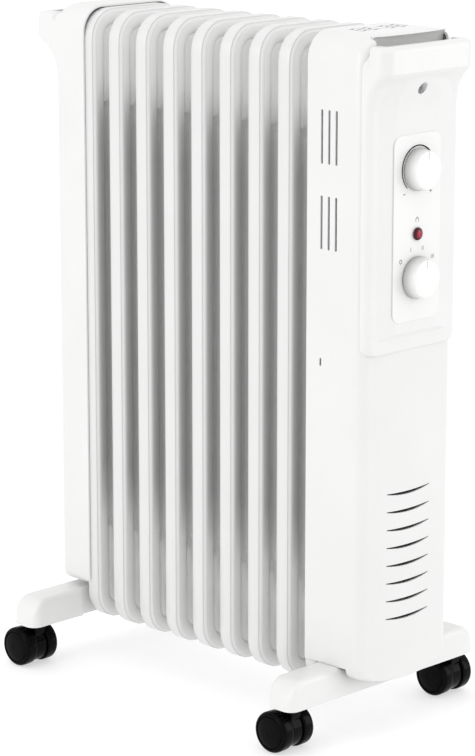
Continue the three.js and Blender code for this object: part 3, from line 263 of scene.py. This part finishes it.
# ---- Header ends and heating element ----
# A brass filler plug at the top rear, pressed steel caps, and the bent steel tube element in the
# bottom header, with its brass flange and a terminal block behind the housing.
steel = finish("zinc_steel", (0.55, 0.56, 0.58), 0.34, bump=0.08, grain=500, metallic=1.0,
               shade=0.12)
brass = finish("brass", (0.55, 0.42, 0.2), 0.36, bump=0.08, grain=500, metallic=1.0, shade=0.15)
cream = finish("cream_plastic", (0.62, 0.58, 0.46), 0.55, bump=0.05, grain=1200, shade=0.08)
wire = finish("wire_red", (0.3, 0.03, 0.025), 0.5, bump=0.05, grain=1500, shade=0.15)
INSIDE_FINISHES = {
    steel: ["rear_header_cap", "front_header_cap", "heating_element", "control_bracket",
            "thermostat_shaft", "switch_shaft", "front_foot_bracket", "rear_foot_bracket",
            "front_wing_nut", "rear_wing_nut"],
    brass: ["oil_filler_plug", "element_flange"],
    cream: ["terminal_block", "thermal_cutout", "thermostat", "rotary_switch", "lamp_body"],
    wire: ["wiring"],
}
for material, names in INSIDE_FINISHES.items():
    for name in names:
        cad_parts[name].data.materials.clear()
        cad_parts[name].data.materials.append(material)

# ---- Feet ----
# Two moulded white feet across the heater, one under each end, hollow underneath. Each hangs from
# a steel bracket by a stud and a wing nut.
FOOT_HALF = 123.0
FOOT_LOW = 41.0
FOOT_RISE = 26.4
FOOT_RUN = 20.0


def cut(made, *cutters):
    """Cuts solids out of a piece and removes them."""
    for cutter in cutters:
        step = made.modifiers.new("cut", "BOOLEAN")
        step.object = cutter
        step.operation = "DIFFERENCE"
        step.solver = "EXACT"
    bpy.context.view_layer.update()
    evaluated = made.evaluated_get(bpy.context.evaluated_depsgraph_get())
    mesh = bpy.data.meshes.new_from_object(evaluated)
    made.modifiers.clear()
    made.data = mesh
    for cutter in cutters:
        bpy.data.objects.remove(cutter)


def block(low, high, radius=0.0, segments=4):
    """A box with rounded edges, used as a cutter or as a small part of a piece."""
    work = bmesh.new()
    bmesh.ops.create_cube(work, size=1.0)
    size = [h - l for l, h in zip(low, high)]
    middle = [(h + l) / 2 for l, h in zip(low, high)]
    for vert in work.verts:
        vert.co = Vector([(vert.co[k] * size[k] + middle[k]) / 1000 for k in range(3)])
    if radius:
        bmesh.ops.bevel(work, geom=work.edges[:], offset=radius / 1000, segments=segments,
                        profile=0.5, affect="EDGES")
    mesh = bpy.data.meshes.new("block")
    work.to_mesh(mesh)
    work.free()
    made = bpy.data.objects.new("block", mesh)
    bpy.context.scene.collection.objects.link(made)
    return made


def foot_rings(inset, back_trim):
    """Sections across the foot, one after another along Y."""
    half = FOOT_HALF - inset
    steps = [math.sin(math.pi / 2 * k / 12) for k in range(1, 13)]
    ends = [half - FOOT_RUN + FOOT_RUN * step for step in steps]
    stations = [-y for y in reversed(ends)] + [-60, 0, 60] + ends
    stations = [min(half - 0.05, max(0.05 - half, y)) for y in stations]
    rings = []
    for y in stations:
        past = max(0.0, abs(y) - (half - FOOT_RUN)) / FOOT_RUN
        rise = (FOOT_RISE - inset) * math.sqrt(max(0.0, 1 - past ** 2.4)) + 0.02
        plan = max(0.0, abs(y) - (half - 10.0)) / 10.0
        wide = 16.0 - inset - 10.0 + 10.0 * math.sqrt(max(0.0, 1 - plan * plan))
        edge = min(5.0 - inset, rise * 0.48, wide * 0.4)
        bottom = FOOT_LOW - (4.0 if inset else 0.0)
        top = FOOT_LOW + rise
        lean = 1.3 * rise / FOOT_RISE
        section = [(wide, bottom), (wide, FOOT_LOW + 0.01)]
        for k in range(6):
            angle = math.pi / 2 * k / 5
            section.append((wide - lean - edge + edge * math.cos(angle),
                            top - edge + edge * math.sin(angle)))
        mirrored = [(-x + back_trim, z) for x, z in reversed(section)]
        rings.append([(x, y, z) for x, z in section + mirrored])
    return rings


foot_plastic = finish("white_plastic", (0.75, 0.75, 0.745), 0.36, bump=0.05, grain=1400, coat=0.15)
FOOT_PLACES = {
    "front": (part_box("front_foot")[0][0] * 500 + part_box("front_foot")[1][0] * 500, 1),
    "rear": (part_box("rear_foot")[0][0] * 500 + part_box("rear_foot")[1][0] * 500, -1),
}
for end, (x, facing) in FOOT_PLACES.items():
    points, faces = skin(foot_rings(0.0, 0.0))
    foot = piece(f"{end}_moulded_foot", points, faces, foot_plastic, 40)
    points, faces = skin(foot_rings(2.5, 3.0))
    trough = piece("trough", points, faces, foot_plastic)
    notch = block((-30, -60.2, 30), (-13.0, 60.2, 80))
    cut(foot, trough, notch)
    soften(foot, 40)
    foot.rotation_euler.z = 0 if facing > 0 else math.pi
    foot.location.x = x / 1000
    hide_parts(f"{end}_foot")
    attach(foot, "frame")

# ---- Castors ----
# Four black twin-wheel castors with glossy moulded wheels on a steel axle, and a body between the
# wheels that turns on a steel stem pushed up into the foot.
WHEEL_R = 18.66
WHEEL_PROFILE = [(0, 6.7), (16.8, 6.7), (17.9, 7.0), (18.5, 7.8), (WHEEL_R, 9.0), (WHEEL_R, 15.4),
                 (18.5, 16.8), (17.9, 18.0), (16.9, 18.9), (15.7, 19.3), (15.1, 19.2),
                 (14.7, 18.4), (14.2, 18.3), (13.8, 18.9), (12.0, 19.4), (8.0, 19.8),
                 (3.4, 19.95), (3.2, 19.6), (0, 19.6)]


def turned(name, profile, axis, centre, material, sides=48, smooth_below=32):
    """A piece turned about an axis. The profile is (radius, distance along the axis)."""
    rings = []
    points = []
    faces = []
    for radius, along in profile:
        if radius == 0:
            rings.append([len(points)])
            points.append((0, 0, along))
        else:
            rings.append(list(range(len(points), len(points) + sides)))
            for k in range(sides):
                angle = 2 * math.pi * k / sides
                points.append((radius * math.cos(angle), radius * math.sin(angle), along))
    for a, b in zip(rings, rings[1:]):
        for k in range(sides):
            quad = [a[k % len(a)], a[(k + 1) % len(a)], b[(k + 1) % len(b)], b[k % len(b)]]
            quad = list(dict.fromkeys(quad))
            if len(quad) > 2:
                faces.append(tuple(quad))
    along_axis = {
        "x": lambda u, v, w: (w, u, v),
        "y": lambda u, v, w: (v, w, u),
        "z": lambda u, v, w: (u, v, w),
    }[axis]
    points = [tuple(c + p for c, p in zip(centre, along_axis(*q))) for q in points]
    return piece(name, points, faces, material, smooth_below)


def slab(name, outline, axis, low, high, material, rounding=0.0, segments=3, smooth_below=32):
    """A flat outline pushed along an axis, with its edges rounded."""
    place = {
        "x": lambda u, v, w: (w, u, v),
        "y": lambda u, v, w: (u, w, v),
        "z": lambda u, v, w: (u, v, w),
    }[axis]
    rings = [[place(u, v, w) for u, v in outline] for w in (low, high)]
    points, faces = skin(rings)
    made = piece(name, points, faces, material, smooth_below)
    if rounding:
        step = made.modifiers.new("rounding", "BEVEL")
        step.width = rounding / 1000
        step.segments = segments
        step.limit_method = "ANGLE"
        step.angle_limit = math.radians(50)
        step.harden_normals = False
    return made


def body_outline(stem_x):
    """Side view of a castor body: a disc round the axle and a neck up to the stem."""
    x = stem_x - 8.0
    z = WHEEL_R
    r = 16.9
    outline = [(stem_x + 6.3, 40.6), (stem_x + 6.3, 37.0), (stem_x + 6.7, 33.5)]
    for k in range(25):
        angle = math.radians(38 - k * 11.5)
        outline.append((x + r * math.cos(angle), z + r * math.sin(angle)))
    outline += [(stem_x - 7.4, 36.6), (stem_x - 6.4, 38.4), (stem_x - 6.3, 40.6)]
    return outline


black = finish("black_plastic", (0.0015, 0.0015, 0.0017), 0.14, bump=0.03, grain=900, shade=0.3,
               specular=0.06)
for end in ("front", "rear"):
    for hand, side in (("left", -1), ("right", 1)):
        castor = f"{end}_{hand}_castor"
        low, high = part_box(f"{castor}_stem")
        stem_x = (low[0] + high[0]) * 500
        y = (low[1] + high[1]) * 500
        body = slab(f"{castor}_moulded_body", body_outline(stem_x), "y", y - 6.2, y + 6.2, black,
                    1.2)
        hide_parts(f"{castor}_body")
        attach(body, castor)
        for name in (f"{castor}_stem", f"{castor}_axle"):
            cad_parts[name].data.materials.clear()
            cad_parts[name].data.materials.append(steel)
        for wheel_hand, wheel_side in (("left", -1), ("right", 1)):
            profile = [(r, wheel_side * w) for r, w in WHEEL_PROFILE]
            wheel = turned(f"{castor}_moulded_wheel_{wheel_hand}", profile, "y",
                           (stem_x - 8.0, y, WHEEL_R), black)
            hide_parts(f"{castor}_wheel_{wheel_hand}")
            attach(wheel, f"{castor}_wheel_{wheel_hand}")

# ---- Rear cover ----
# One moulded white cover over the rear end of the stack, open towards the fins. Its top flares
# out into a handle lip with a slot behind it for the fingers.
COVER_MOUTH = 151.4
COVER_FACE = 193.6
COVER_REACH = 26.0
COVER_TOP = 624.2
LIP_TOP = 615.8
LIP_HEIGHT = 25.0
FLARE = 60.0


def flare_at(z, reach):
    """How far the handle stands out of the face at a height."""
    end = LIP_TOP - FLARE
    lip = LIP_TOP - LIP_HEIGHT
    if z <= end:
        return 0.0
    if z < lip:
        low, high = 0.0, 1.0
        for _ in range(30):
            t = (low + high) / 2
            here = (1 - t) ** 2 * end + 2 * t * (1 - t) * (lip - 9) + t * t * lip
            low, high = (t, high) if here < z else (low, t)
        return 2 * t * (1 - t) + t * t * reach
    past = max(0.0, z - (LIP_TOP - 5.0))
    return reach - 5.0 + math.sqrt(max(0.0, 25 - past * past))


def half_width_at(z, half, low, high, low_corner, high_corner):
    """Half width of a front with rounded corners at its bottom and top."""
    if z < low + low_corner:
        down = low + low_corner - z
        return half - low_corner + math.sqrt(max(0.0, low_corner ** 2 - down ** 2))
    if z > high - high_corner:
        up = z - high + high_corner
        return half - high_corner + math.sqrt(max(0.0, high_corner ** 2 - up ** 2))
    return half


def curved_levels(low, high, low_corner, high_corner, extra):
    """Heights of the sections: close together through the rounded corners."""
    levels = [low + low_corner * (1 - math.cos(math.pi / 2 * k / 8)) for k in range(9)]
    levels += [high - high_corner * (1 - math.sin(math.pi / 2 * k / 12)) for k in range(13)]
    levels += [z for z in extra if low + low_corner < z < high]
    return sorted(set(round(z, 4) for z in levels))


def end_section(z, back, half, face, corner, crown=lambda y: 0.0):
    """A section across an end piece: straight sides, rounded corners and a front face."""
    corner = min(corner, half * 0.9)
    flat = half - corner
    section = [(back, -half, z)]
    for k in range(9):
        angle = math.pi / 2 * k / 8
        section.append((face - corner + corner * math.sin(angle) + crown(-flat) * math.sin(angle),
                        -flat - corner * math.cos(angle), z))
    for k in range(1, 24):
        y = -flat + 2 * flat * k / 24
        section.append((face + crown(y), y, z))
    for k in range(9):
        angle = math.pi / 2 * k / 8
        section.append((face - corner + corner * math.cos(angle) + crown(flat) * math.cos(angle),
                        flat + corner * math.sin(angle), z))
    section.append((back, half, z))
    return section


flare_levels = [LIP_TOP - FLARE + 4.2 * k for k in range(14)] + [LIP_TOP - 5 + 5 * math.sin(
    math.pi / 2 * k / 6) for k in range(7)]


def lipped_section(z, back, base, face, root, half, corner, rise=lambda y: 0.0, parts=8):
    """A section whose sides step out from the root's half width to the lip's beyond base."""
    flat = half - corner
    step = min(base, face - corner - 0.1)
    near = [(back, root), (step - 0.1, root), (min(step + 1.6, face - corner - 0.05), half)]
    for k in range(9):
        angle = math.pi / 2 * k / 8
        near.append((face - corner + corner * math.sin(angle), flat + corner * math.cos(angle)))
    section = [(x, -y, z) for x, y in near]
    for k in range(1, 2 * parts):
        y = flat * (k / parts - 1)
        section.append((face + rise(y), y, z))
    return section + [(x, y, z) for x, y in reversed(near)]


def cover_section(z, lipped):
    roll = max(0.0, z - COVER_TOP + 8.0)
    root = half_width_at(z, 59.7, 73.1, COVER_TOP, 8.0, 24.0)
    face = COVER_FACE - 8.0 + math.sqrt(max(0.0, 64 - roll ** 2))
    if not lipped:
        return lipped_section(z, COVER_MOUTH, 192.0, face, root, root, 11.0)
    face = COVER_FACE + flare_at(z, COVER_REACH)
    half = half_width_at(z, 59.7, 73.1, LIP_TOP, 8.0, 5.0)
    return lipped_section(z, COVER_MOUTH, 192.0, face, root, half, 11.0)


cover_levels = curved_levels(73.1, COVER_TOP, 8.0, 24.0, flare_levels + [150, 250, 350, 450])
rings = [cover_section(z, True) for z in cover_levels if z < LIP_TOP - 0.001]
rings += [cover_section(LIP_TOP, True), cover_section(LIP_TOP + 0.02, False)]
rings += [cover_section(z, False) for z in cover_levels if z > LIP_TOP + 0.03]
points, faces = skin([[(-x, y, z) for x, y, z in ring] for ring in rings])
cover = piece("moulded_rear_cover", points, faces, foot_plastic, 35)
inner = []
for z in curved_levels(75.3, COVER_TOP - 1.8, 6.0, 22.0, [200, 400]):
    half = half_width_at(z, 57.9, 75.3, COVER_TOP - 1.8, 6.0, 22.0)
    inner.append([(-x, y, z) for x, y, z in end_section(z, COVER_MOUTH - 6, half, 191.3, 9.0)])
points, faces = skin(inner)
hollow = piece("hollow", points, faces, foot_plastic)
slot = block((-209.6, -46, 585.8), (-194.8, 46, 660), 3.0)
passage = block((-161.0, -27.5, 60), (-150, 27.5, 90))
cut(cover, slot)
cut(cover, hollow)
cut(cover, passage)
assert len(cover.data.polygons) > 1000
soften(cover, 35)
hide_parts("rear_cover")
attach(cover, "frame")

# ---- Control housing ----
# A folded steel housing in white enamel over the front end, with crescent louvres low in its
# bowed front, air slots in both sides and two groups of wavy slots in its top.
HOUSING_BACK = 132.0
HOUSING_FACE = 197.4
HOUSING_TOP = 624.2
LOUVRES = [224.0 - 16.2 * i for i in range(8)]


def housing_crown(half):
    return lambda y: 2.9 * (1 - min(1.0, (y / half) ** 2))


def housing_half(z, inset):
    if z < 71.0:
        down = min(1.0, (71.0 - z) / 19.0)
        return max(3.0, 59.7 * (1 - down ** 3.2) ** 0.42 - inset)
    return half_width_at(z, 59.7 - inset, 60.0, HOUSING_TOP - inset, 0.0, 24.0 - inset)


def housing_rings(inset, back):
    levels = [52.05, 52.4, 53, 54, 55.5, 57.5, 60, 63, 67, 71]
    levels += curved_levels(72, HOUSING_TOP - inset, 1.0, 24.0 - inset, [150, 250, 350, 450, 550])
    rings = []
    for z in levels:
        roll = max(0.0, z - (HOUSING_TOP - inset - 7.0))
        face = HOUSING_FACE - inset - 7.0 + math.sqrt(max(0.0, 49 - roll ** 2))
        half = housing_half(z, inset)
        rings.append(end_section(z, back, half, face, 11.0 - inset, housing_crown(48.0)))
    return rings


points, faces = skin(housing_rings(0.0, HOUSING_BACK))
housing = piece("folded_housing", points, faces, enamel, 35)
points, faces = skin(housing_rings(1.8, HOUSING_BACK - 6))
cutters = [piece("hollow", points, faces, enamel)]
cutters.append(block((120, -70, 40), (181.5, 70, 67.8)))
for z in LOUVRES:
    outline = []
    for k in range(17):
        t = -1 + k / 8
        outline.append((27.6 * t, z - 3.1 * (1 - t * t) - 0.5))
    for k in range(17):
        t = 1 - k / 8
        outline.append((27.6 * t, z - 1.1 * (1 - t * t) + 0.3))
    cutters.append(slab("louvre", outline, "x", 186, 206, enamel))
for top in (559.0, 485.0):
    for i in range(3):
        x = 149.0 + 8.4 * i
        cutters.append(block((x - 1.2, -70, top - 46.5), (x + 1.2, 70, top), 0.9, 3))
cutters.append(block((147.6, -70, 336), (149.8, 70, 343), 0.7, 3))
for middle in (-18.0, 18.0):
    for i in range(3):
        near = []
        far = []
        for k in range(25):
            t = k / 24
            sway = 1.6 * math.sin(4 * math.pi * t)
            x = 151.2 + 7.0 * i + sway
            near.append((x - 1.5, middle - 14 + 28 * t))
            far.append((x + 1.5, middle - 14 + 28 * t))
        cutters.append(slab("top_slot", near + far[::-1], "z", 600, 640, enamel))
cutters.append(block((186, -45.5, 592), (206, 45.5, 622.2), 2.0))
cut(housing, *cutters)
soften(housing, 35)
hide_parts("housing")
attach(housing, "frame")

# ---- Finger cup ----
# A curved white plastic wall behind the front handle's slot, which stops fingers reaching the
# controls. It is moulded with the panel and closes the opening in the housing's top front edge.
turns = [math.pi * k / 16 for k in range(17)]
cup_wall = [(195.0 - 4.6 * math.sin(t), 608.0 + 14.2 * math.cos(t)) for t in turns]
cup_wall += [(195.0 - 6.2 * math.sin(t), 608.0 + 15.0 * math.cos(t)) for t in reversed(turns)]
cup = slab("moulded_finger_cup", cup_wall, "y", -46.5, 46.5, foot_plastic)
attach(cup, "frame")

# ---- Cord gland ----
# The bush in the right side of the housing that the mains lead passes through, moulded in white.
low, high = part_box("cord_gland")
gland_x = (low[0] + high[0]) * 500
gland_z = (low[2] + high[2]) * 500
GLAND_PROFILE = [(4.0, 55.8), (8.3, 55.8), (8.3, 57.6), (6.3, 57.8), (6.3, 60.0), (8.2, 60.1),
                 (8.4, 60.8), (7.6, 61.4), (6.8, 61.9), (6.4, 63.0), (5.6, 63.2), (4.4, 63.2),
                 (4.0, 62.8), (4.0, 55.8)]
gland = turned("moulded_gland", GLAND_PROFILE, "y", (gland_x, 0, gland_z), foot_plastic, 40)
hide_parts("cord_gland")
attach(gland, "frame")

# ---- Front panel ----
# A moulded white panel clipped over the upper front of the housing. It has a raised flat middle
# with a crease at each side, and flares out at the top into the front handle lip.
PANEL_FACE = 201.2
PANEL_REACH = 18.4
PANEL_HALF = 58.6
PANEL_LOW = 350.1
FIELD_HALF = 46.8
FIELD_LOW = 362.2
FIELD_HIGH = 588.0
FIELD_ARCH = 26.0
FIELD_RISE = 3.4
FIELD_SLOPES = (20.6, 4.6, 7.0)


def housing_wall(y):
    """Where the back of the panel lies against the housing."""
    past = max(0.0, abs(y) - 48.7)
    bow = housing_crown(48.0)(min(48.0, abs(y)))
    wall = HOUSING_FACE + 0.3 + bow - 11.3 + math.sqrt(max(0.0, 11.3 ** 2 - past ** 2))
    return max(193.1, wall)


def field_rise(y, z):
    """The raised middle: long slopes at its sides, a short one below, and an arch at its top."""
    side, foot, crown = FIELD_SLOPES
    inside = min((FIELD_HALF - abs(y)) / side, (z - FIELD_LOW) / foot)
    above = z - (FIELD_HIGH - FIELD_ARCH)
    if above > 0:
        arch_reach = math.hypot(y / FIELD_HALF, above / FIELD_ARCH)
        inside = min(inside, FIELD_ARCH / crown * (1 - arch_reach))
    return FIELD_RISE * min(1.0, max(0.0, inside))


def panel_section(z):
    """A section across the panel: its back follows the housing, its lip is wider at the top."""
    stand = flare_at(z, PANEL_REACH)
    chin = max(0.0, PANEL_LOW + 0.4 - z)
    face = PANEL_FACE + stand - 0.4 + math.sqrt(max(0.0, 0.16 - chin * chin))
    root = half_width_at(z, PANEL_HALF, PANEL_LOW, LIP_TOP, 8.0, 22.8)
    half = half_width_at(z, PANEL_HALF, PANEL_LOW, LIP_TOP, 8.0, 5.0)
    corner = min(7.4 + 4.6 * stand / PANEL_REACH, face - 193.5)
    section = lipped_section(z, housing_wall(root), 200.0, face, root, half, corner,
                             lambda y: field_rise(y, z), 30)
    for k in range(13):
        y = (root - 0.8) * (1 - k / 6)
        section.append((min(housing_wall(y), face - 0.2), y, z))
    return section


field_levels = [FIELD_LOW + 0.575 * k for k in range(9)]
field_levels += [FIELD_HIGH - FIELD_ARCH * (1 - math.sin(math.pi / 2 * k / 20)) for k in range(21)]
panel_levels = curved_levels(PANEL_LOW, LIP_TOP, 8.0, 22.8, flare_levels + field_levels)
panel_levels = [PANEL_LOW, PANEL_LOW + 0.12, PANEL_LOW + 0.4] + panel_levels[1:]
points, faces = skin([panel_section(z) for z in panel_levels])
panel = piece("moulded_front_panel", points, faces, foot_plastic, 22)
slot = block((180.0, -46, 585.8), (209.6, 46, 660), 3.0)
cut(panel, slot)
pocket = turned("pocket", [(0, 202.7), (5.2, 202.7), (5.2, 240), (0, 240)], "x", (0, 0, 577),
                foot_plastic)
cut(panel, pocket)
assert len(panel.data.polygons) > 500
soften(panel, 22)
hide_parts("front_panel")
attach(panel, "frame")

# ---- Panel screw ----
# A zinc plated cross-head screw in the round pocket under the front handle.
SCREW_PROFILE = [(0, 190), (1.9, 190), (1.9, 202.9), (3.9, 202.9), (4.0, 203.6), (3.2, 204.7),
                 (1.6, 205.2), (0, 205.3)]
screw = turned("cross_head_screw", SCREW_PROFILE, "x", (0, 0, 577), steel, 32)
cut(screw, block((204.2, -2.2, 576.5), (207, 2.2, 577.5)),
    block((204.2, -0.5, 574.8), (207, 0.5, 579.2)))
soften(screw)
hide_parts("panel_screw")
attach(screw, "frame")

# ---- Control plate ----
# A thin moulded plate with rounded corners in the middle of the panel, printed in dark grey with
# the marks of both dials and a lamp sign.
PLATE_FACE = 205.2
DIAL_Z = {dial: (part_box(f"{dial}_knob")[0][2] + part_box(f"{dial}_knob")[1][2]) * 500
          for dial in ("thermostat", "switch")}
LAMP_Z = (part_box("lamp_lens")[0][2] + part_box("lamp_lens")[1][2]) * 500


def rounded_outline(half_u, low_v, high_v, radius, steps=8):
    outline = []
    for u, v, start in ((half_u - radius, low_v + radius, -90),
                        (half_u - radius, high_v - radius, 0),
                        (radius - half_u, high_v - radius, 90),
                        (radius - half_u, low_v + radius, 180)):
        for k in range(steps + 1):
            angle = math.radians(start + 90 * k / steps)
            outline.append((u + radius * math.cos(angle), v + radius * math.sin(angle)))
    return outline


plate_plastic = finish("white_plate_plastic", (0.79, 0.79, 0.785), 0.32, bump=0.03, grain=1400,
                       coat=0.2)
plate = slab("moulded_plate", rounded_outline(30, 376, 538, 9), "x", 204.2, PLATE_FACE,
             plate_plastic, 0.35)
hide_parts("control_plate")
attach(plate, "frame")

print_grey = finish("printed_grey", (0.12, 0.12, 0.125), 0.6, bump=0.02, grain=2000, shade=0.2)


def printed(name, strips):
    """Thin printed marks on the plate, each an outline in (y, z)."""
    points = []
    faces = []
    for outline in strips:
        ring_points, ring_faces = skin([[(x, y, z) for y, z in outline]
                                        for x in (PLATE_FACE - 0.2, PLATE_FACE + 0.06)])
        faces += [tuple(len(points) + k for k in face) for face in ring_faces]
        points += ring_points
    made = piece(name, points, faces, print_grey)
    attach(made, "frame")
    return made


def bar(y, z, width, height, slant=0.0):
    turn = math.radians(slant)
    corners = [(-width / 2, -height / 2), (width / 2, -height / 2), (width / 2, height / 2),
               (-width / 2, height / 2)]
    return [(y + u * math.cos(turn) - v * math.sin(turn),
             z + u * math.sin(turn) + v * math.cos(turn))
            for u, v in corners]


def around(centre_z, radius, degrees):
    """A place on a circle round a dial, in degrees clockwise from the top."""
    angle = math.radians(degrees)
    return radius * math.sin(angle), centre_z + radius * math.cos(angle)


def arc_strip(centre_z, start, end, inner, outer, steps=40):
    """A printed arc whose two radii may change from one end to the other."""
    near = []
    far = []
    for k in range(steps + 1):
        t = k / steps
        turn = start + (end - start) * t
        near.append(around(centre_z, inner(t), turn))
        far.append(around(centre_z, outer(t), turn))
    return near, far


def arc_quads(centre_z, start, end, inner, outer, steps=40):
    near, far = arc_strip(centre_z, start, end, inner, outer, steps)
    return [[near[k], near[k + 1], far[k + 1], far[k]] for k in range(steps)]


strips = []
for degrees, strokes in ((-52, 0), (-17, 1), (17, 2), (52, 3)):
    y, z = around(DIAL_Z["switch"], 26.0, degrees)
    if strokes == 0:
        strips += [[(y + p, z + q) for p, q in ((1.1 * math.sin(a), 1.4 * math.cos(a)),
                                                (1.1 * math.sin(b), 1.4 * math.cos(b)),
                                                (1.7 * math.sin(b), 2.0 * math.cos(b)),
                                                (1.7 * math.sin(a), 2.0 * math.cos(a)))]
                   for a, b in ((math.pi * k / 8, math.pi * (k + 1) / 8) for k in range(16))]
    else:
        strips += [bar(y + 1.5 * (k - (strokes - 1) / 2), z, 0.5, 3.6) for k in range(strokes)]
strips += arc_quads(LAMP_Z + 12.0, -150, 150, lambda t: 1.7, lambda t: 2.2, 16)
strips.append(bar(0, LAMP_Z + 13.9, 0.5, 2.4))
for degrees in (-140, 140):
    y, z = around(DIAL_Z["thermostat"], 26.5, degrees)
    strips.append(bar(y, z, 3.4, 0.6))
    if degrees > 0:
        strips.append(bar(y, z, 0.6, 3.4))
printed("plate_marks", strips)

# ---- Thermostat scale ----
# The black wedge printed round the thermostat knob, thin at its cold end and wide at its hot end.
quads = arc_quads(DIAL_Z["thermostat"], -138, 138, lambda t: 20.0, lambda t: 20.4 + 1.1 * t, 72)
points = []
faces = []
for quad in quads:
    ring_points, ring_faces = skin([[(x, y, z) for y, z in quad]
                                    for x in (PLATE_FACE - 0.2, PLATE_FACE + 0.5)])
    faces += [tuple(len(points) + k for k in face) for face in ring_faces]
    points += ring_points
scale = piece("thermostat_scale", points, faces, black)
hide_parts("dial_ring")
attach(scale, "frame")

# ---- Knobs ----
# Two moulded white knobs with a thin skirt, a tapered grip and a flat face with a groove for a
# pointer. Each is pushed onto its control's shaft.
KNOB_PROFILE = [(3.3, 206.2), (18.4, 206.2), (18.6, 206.5), (18.6, 207.4), (18.3, 207.9),
                (17.9, 208.5), (17.7, 209.6), (17.4, 212.0), (17.1, 214.6), (16.8, 216.6),
                (16.6, 217.2), (16.3, 217.6), (15.9, 217.8), (0, 217.8), (0, 213), (3.3, 213),
                (3.3, 206.2)]
# Painted shade on the knobs: a colour scale by height above the plate, darkest at the skirt.
KNOB_SHADE_BY_HEIGHT = [(206.2, 0.36), (208.0, 0.42), (210.0, 0.55), (213.0, 0.68), (217.4, 0.78),
              (217.8, 0.83)]
GROOVE_HALF_WIDTH = 0.5
GROOVE_FLOOR = 217.2
GROOVE_START = 9.5  # from the middle of the knob
knob_plastic = finish("white_knob_plastic", (1.0, 1.0, 0.993), 0.34, bump=0.04, grain=1400,
                      coat=0.15, with_painted_shade=True)


def knob_painted_shade(x, y, z):
    """Painted shade: the grip is darker towards its skirt, by the plate, than at its face."""
    for (near, start), (far, end) in zip(KNOB_SHADE_BY_HEIGHT, KNOB_SHADE_BY_HEIGHT[1:]):
        if x <= far:
            return start + (end - start) * max(0.0, x - near) / (far - near)
    return KNOB_SHADE_BY_HEIGHT[-1][1]


for name, height in DIAL_Z.items():
    knob = turned(f"moulded_{name}_knob", KNOB_PROFILE, "x", (0, 0, height), knob_plastic, 72)
    cut(knob, block((GROOVE_FLOOR, -GROOVE_HALF_WIDTH, height + GROOVE_START),
                    (220, GROOVE_HALF_WIDTH, height + 20)))
    soften(knob)
    painted_shade(knob.data, knob_painted_shade)
    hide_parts(f"{name}_knob")
    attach(knob, f"{name}_control")

# ---- Lamp ----
# A small domed red lens in a thin collar. The lamp body behind it lights up while the element
# is on.
lens_red = finish("red_lens", (0.42, 0.02, 0.06), 0.1, bump=0.02, grain=600, coat=0.15, shade=0.2,
                  specular=0.25, with_painted_shade=True)
LENS_PROFILE = [(0, 196), (4.4, 196), (4.4, 206.1), (5.6, 206.1), (5.6, 206.8), (5.1, 207.5),
                (4.1, 208.2), (2.6, 208.65), (1.2, 208.76), (0, 208.8)]
lens = turned("domed_lens", LENS_PROFILE, "x", (0, 0, LAMP_Z), lens_red, 40, 60)
# Painted shade and painted light: the lens's red is darkest at its rim and brightest in its middle,
# for the dome's shading.
painted_shade(lens.data, lambda x, y, z: 0.12 + 0.88 * smoothstep(4.6, 1.6, math.hypot(y, z - LAMP_Z)))
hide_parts("lamp_lens")
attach(lens, "frame")

# ---- Floor, light and camera ----
# A pale floor that runs to the horizon, soft light from above and both sides, and a camera that
# looks down a little at the front left corner.
floor_finish = finish("pale_floor", (0.5, 0.5, 0.5), 0.7, bump=0.0, grain=200, shade=0.01)
floor_shader = floor_finish.node_tree.nodes["Principled BSDF"]
floor_shader.inputs["Emission Color"].default_value = (1, 1, 1, 1)
floor_shader.inputs["Emission Strength"].default_value = 0.55
floor = piece("floor", [(-9000, -9000, -0.3), (9000, -9000, -0.3), (9000, 9000, -0.3),
                        (-9000, 9000, -0.3)], [(0, 1, 2, 3)], floor_finish)

world = bpy.data.worlds.new("studio")
world.use_nodes = True
sky = world.node_tree.nodes["Background"]
sky.inputs["Color"].default_value = (1, 1, 1, 1)
sky.inputs["Strength"].default_value = 1.02
bpy.context.scene.world = world
bpy.context.scene.view_settings.view_transform = "Standard"


def soft_light(name, place, aim, size, watts):
    data = bpy.data.lights.new(name, "AREA")
    data.shape = "RECTANGLE"
    data.size, data.size_y = size
    data.energy = watts
    lamp = bpy.data.objects.new(name, data)
    lamp.location = place
    lamp.rotation_euler = (Vector(aim) - Vector(place)).to_track_quat("-Z", "Y").to_euler()
    bpy.context.scene.collection.objects.link(lamp)


soft_light("top_light", (0.2, -0.4, 2.2), (0, 0, 0.3), (1.6, 1.6), 4)
soft_light("left_light", (-0.3, -2.8, 1.2), (0, 0, 0.3), (1.4, 1.8), 14)
soft_light("front_light", (2.3, 1.9, 1.0), (0.1, 0, 0.3), (1.2, 1.8), 14)

camera_data = bpy.data.cameras.new("camera")
camera_data.sensor_fit = "VERTICAL"
camera_data.sensor_height = 36.0
camera_data.lens = 36.0 * 2902.4 / 756
camera_data.clip_end = 60.0
camera = bpy.data.objects.new("camera", camera_data)
camera.matrix_world = (
    Matrix.Translation((1.8220, -1.8466, 0.8926))
    @ Matrix.Rotation(math.radians(44.794), 4, "Z")
    @ Matrix.Rotation(math.radians(90 - 13.054), 4, "X")
)
bpy.context.scene.collection.objects.link(camera)
bpy.context.scene.camera = camera
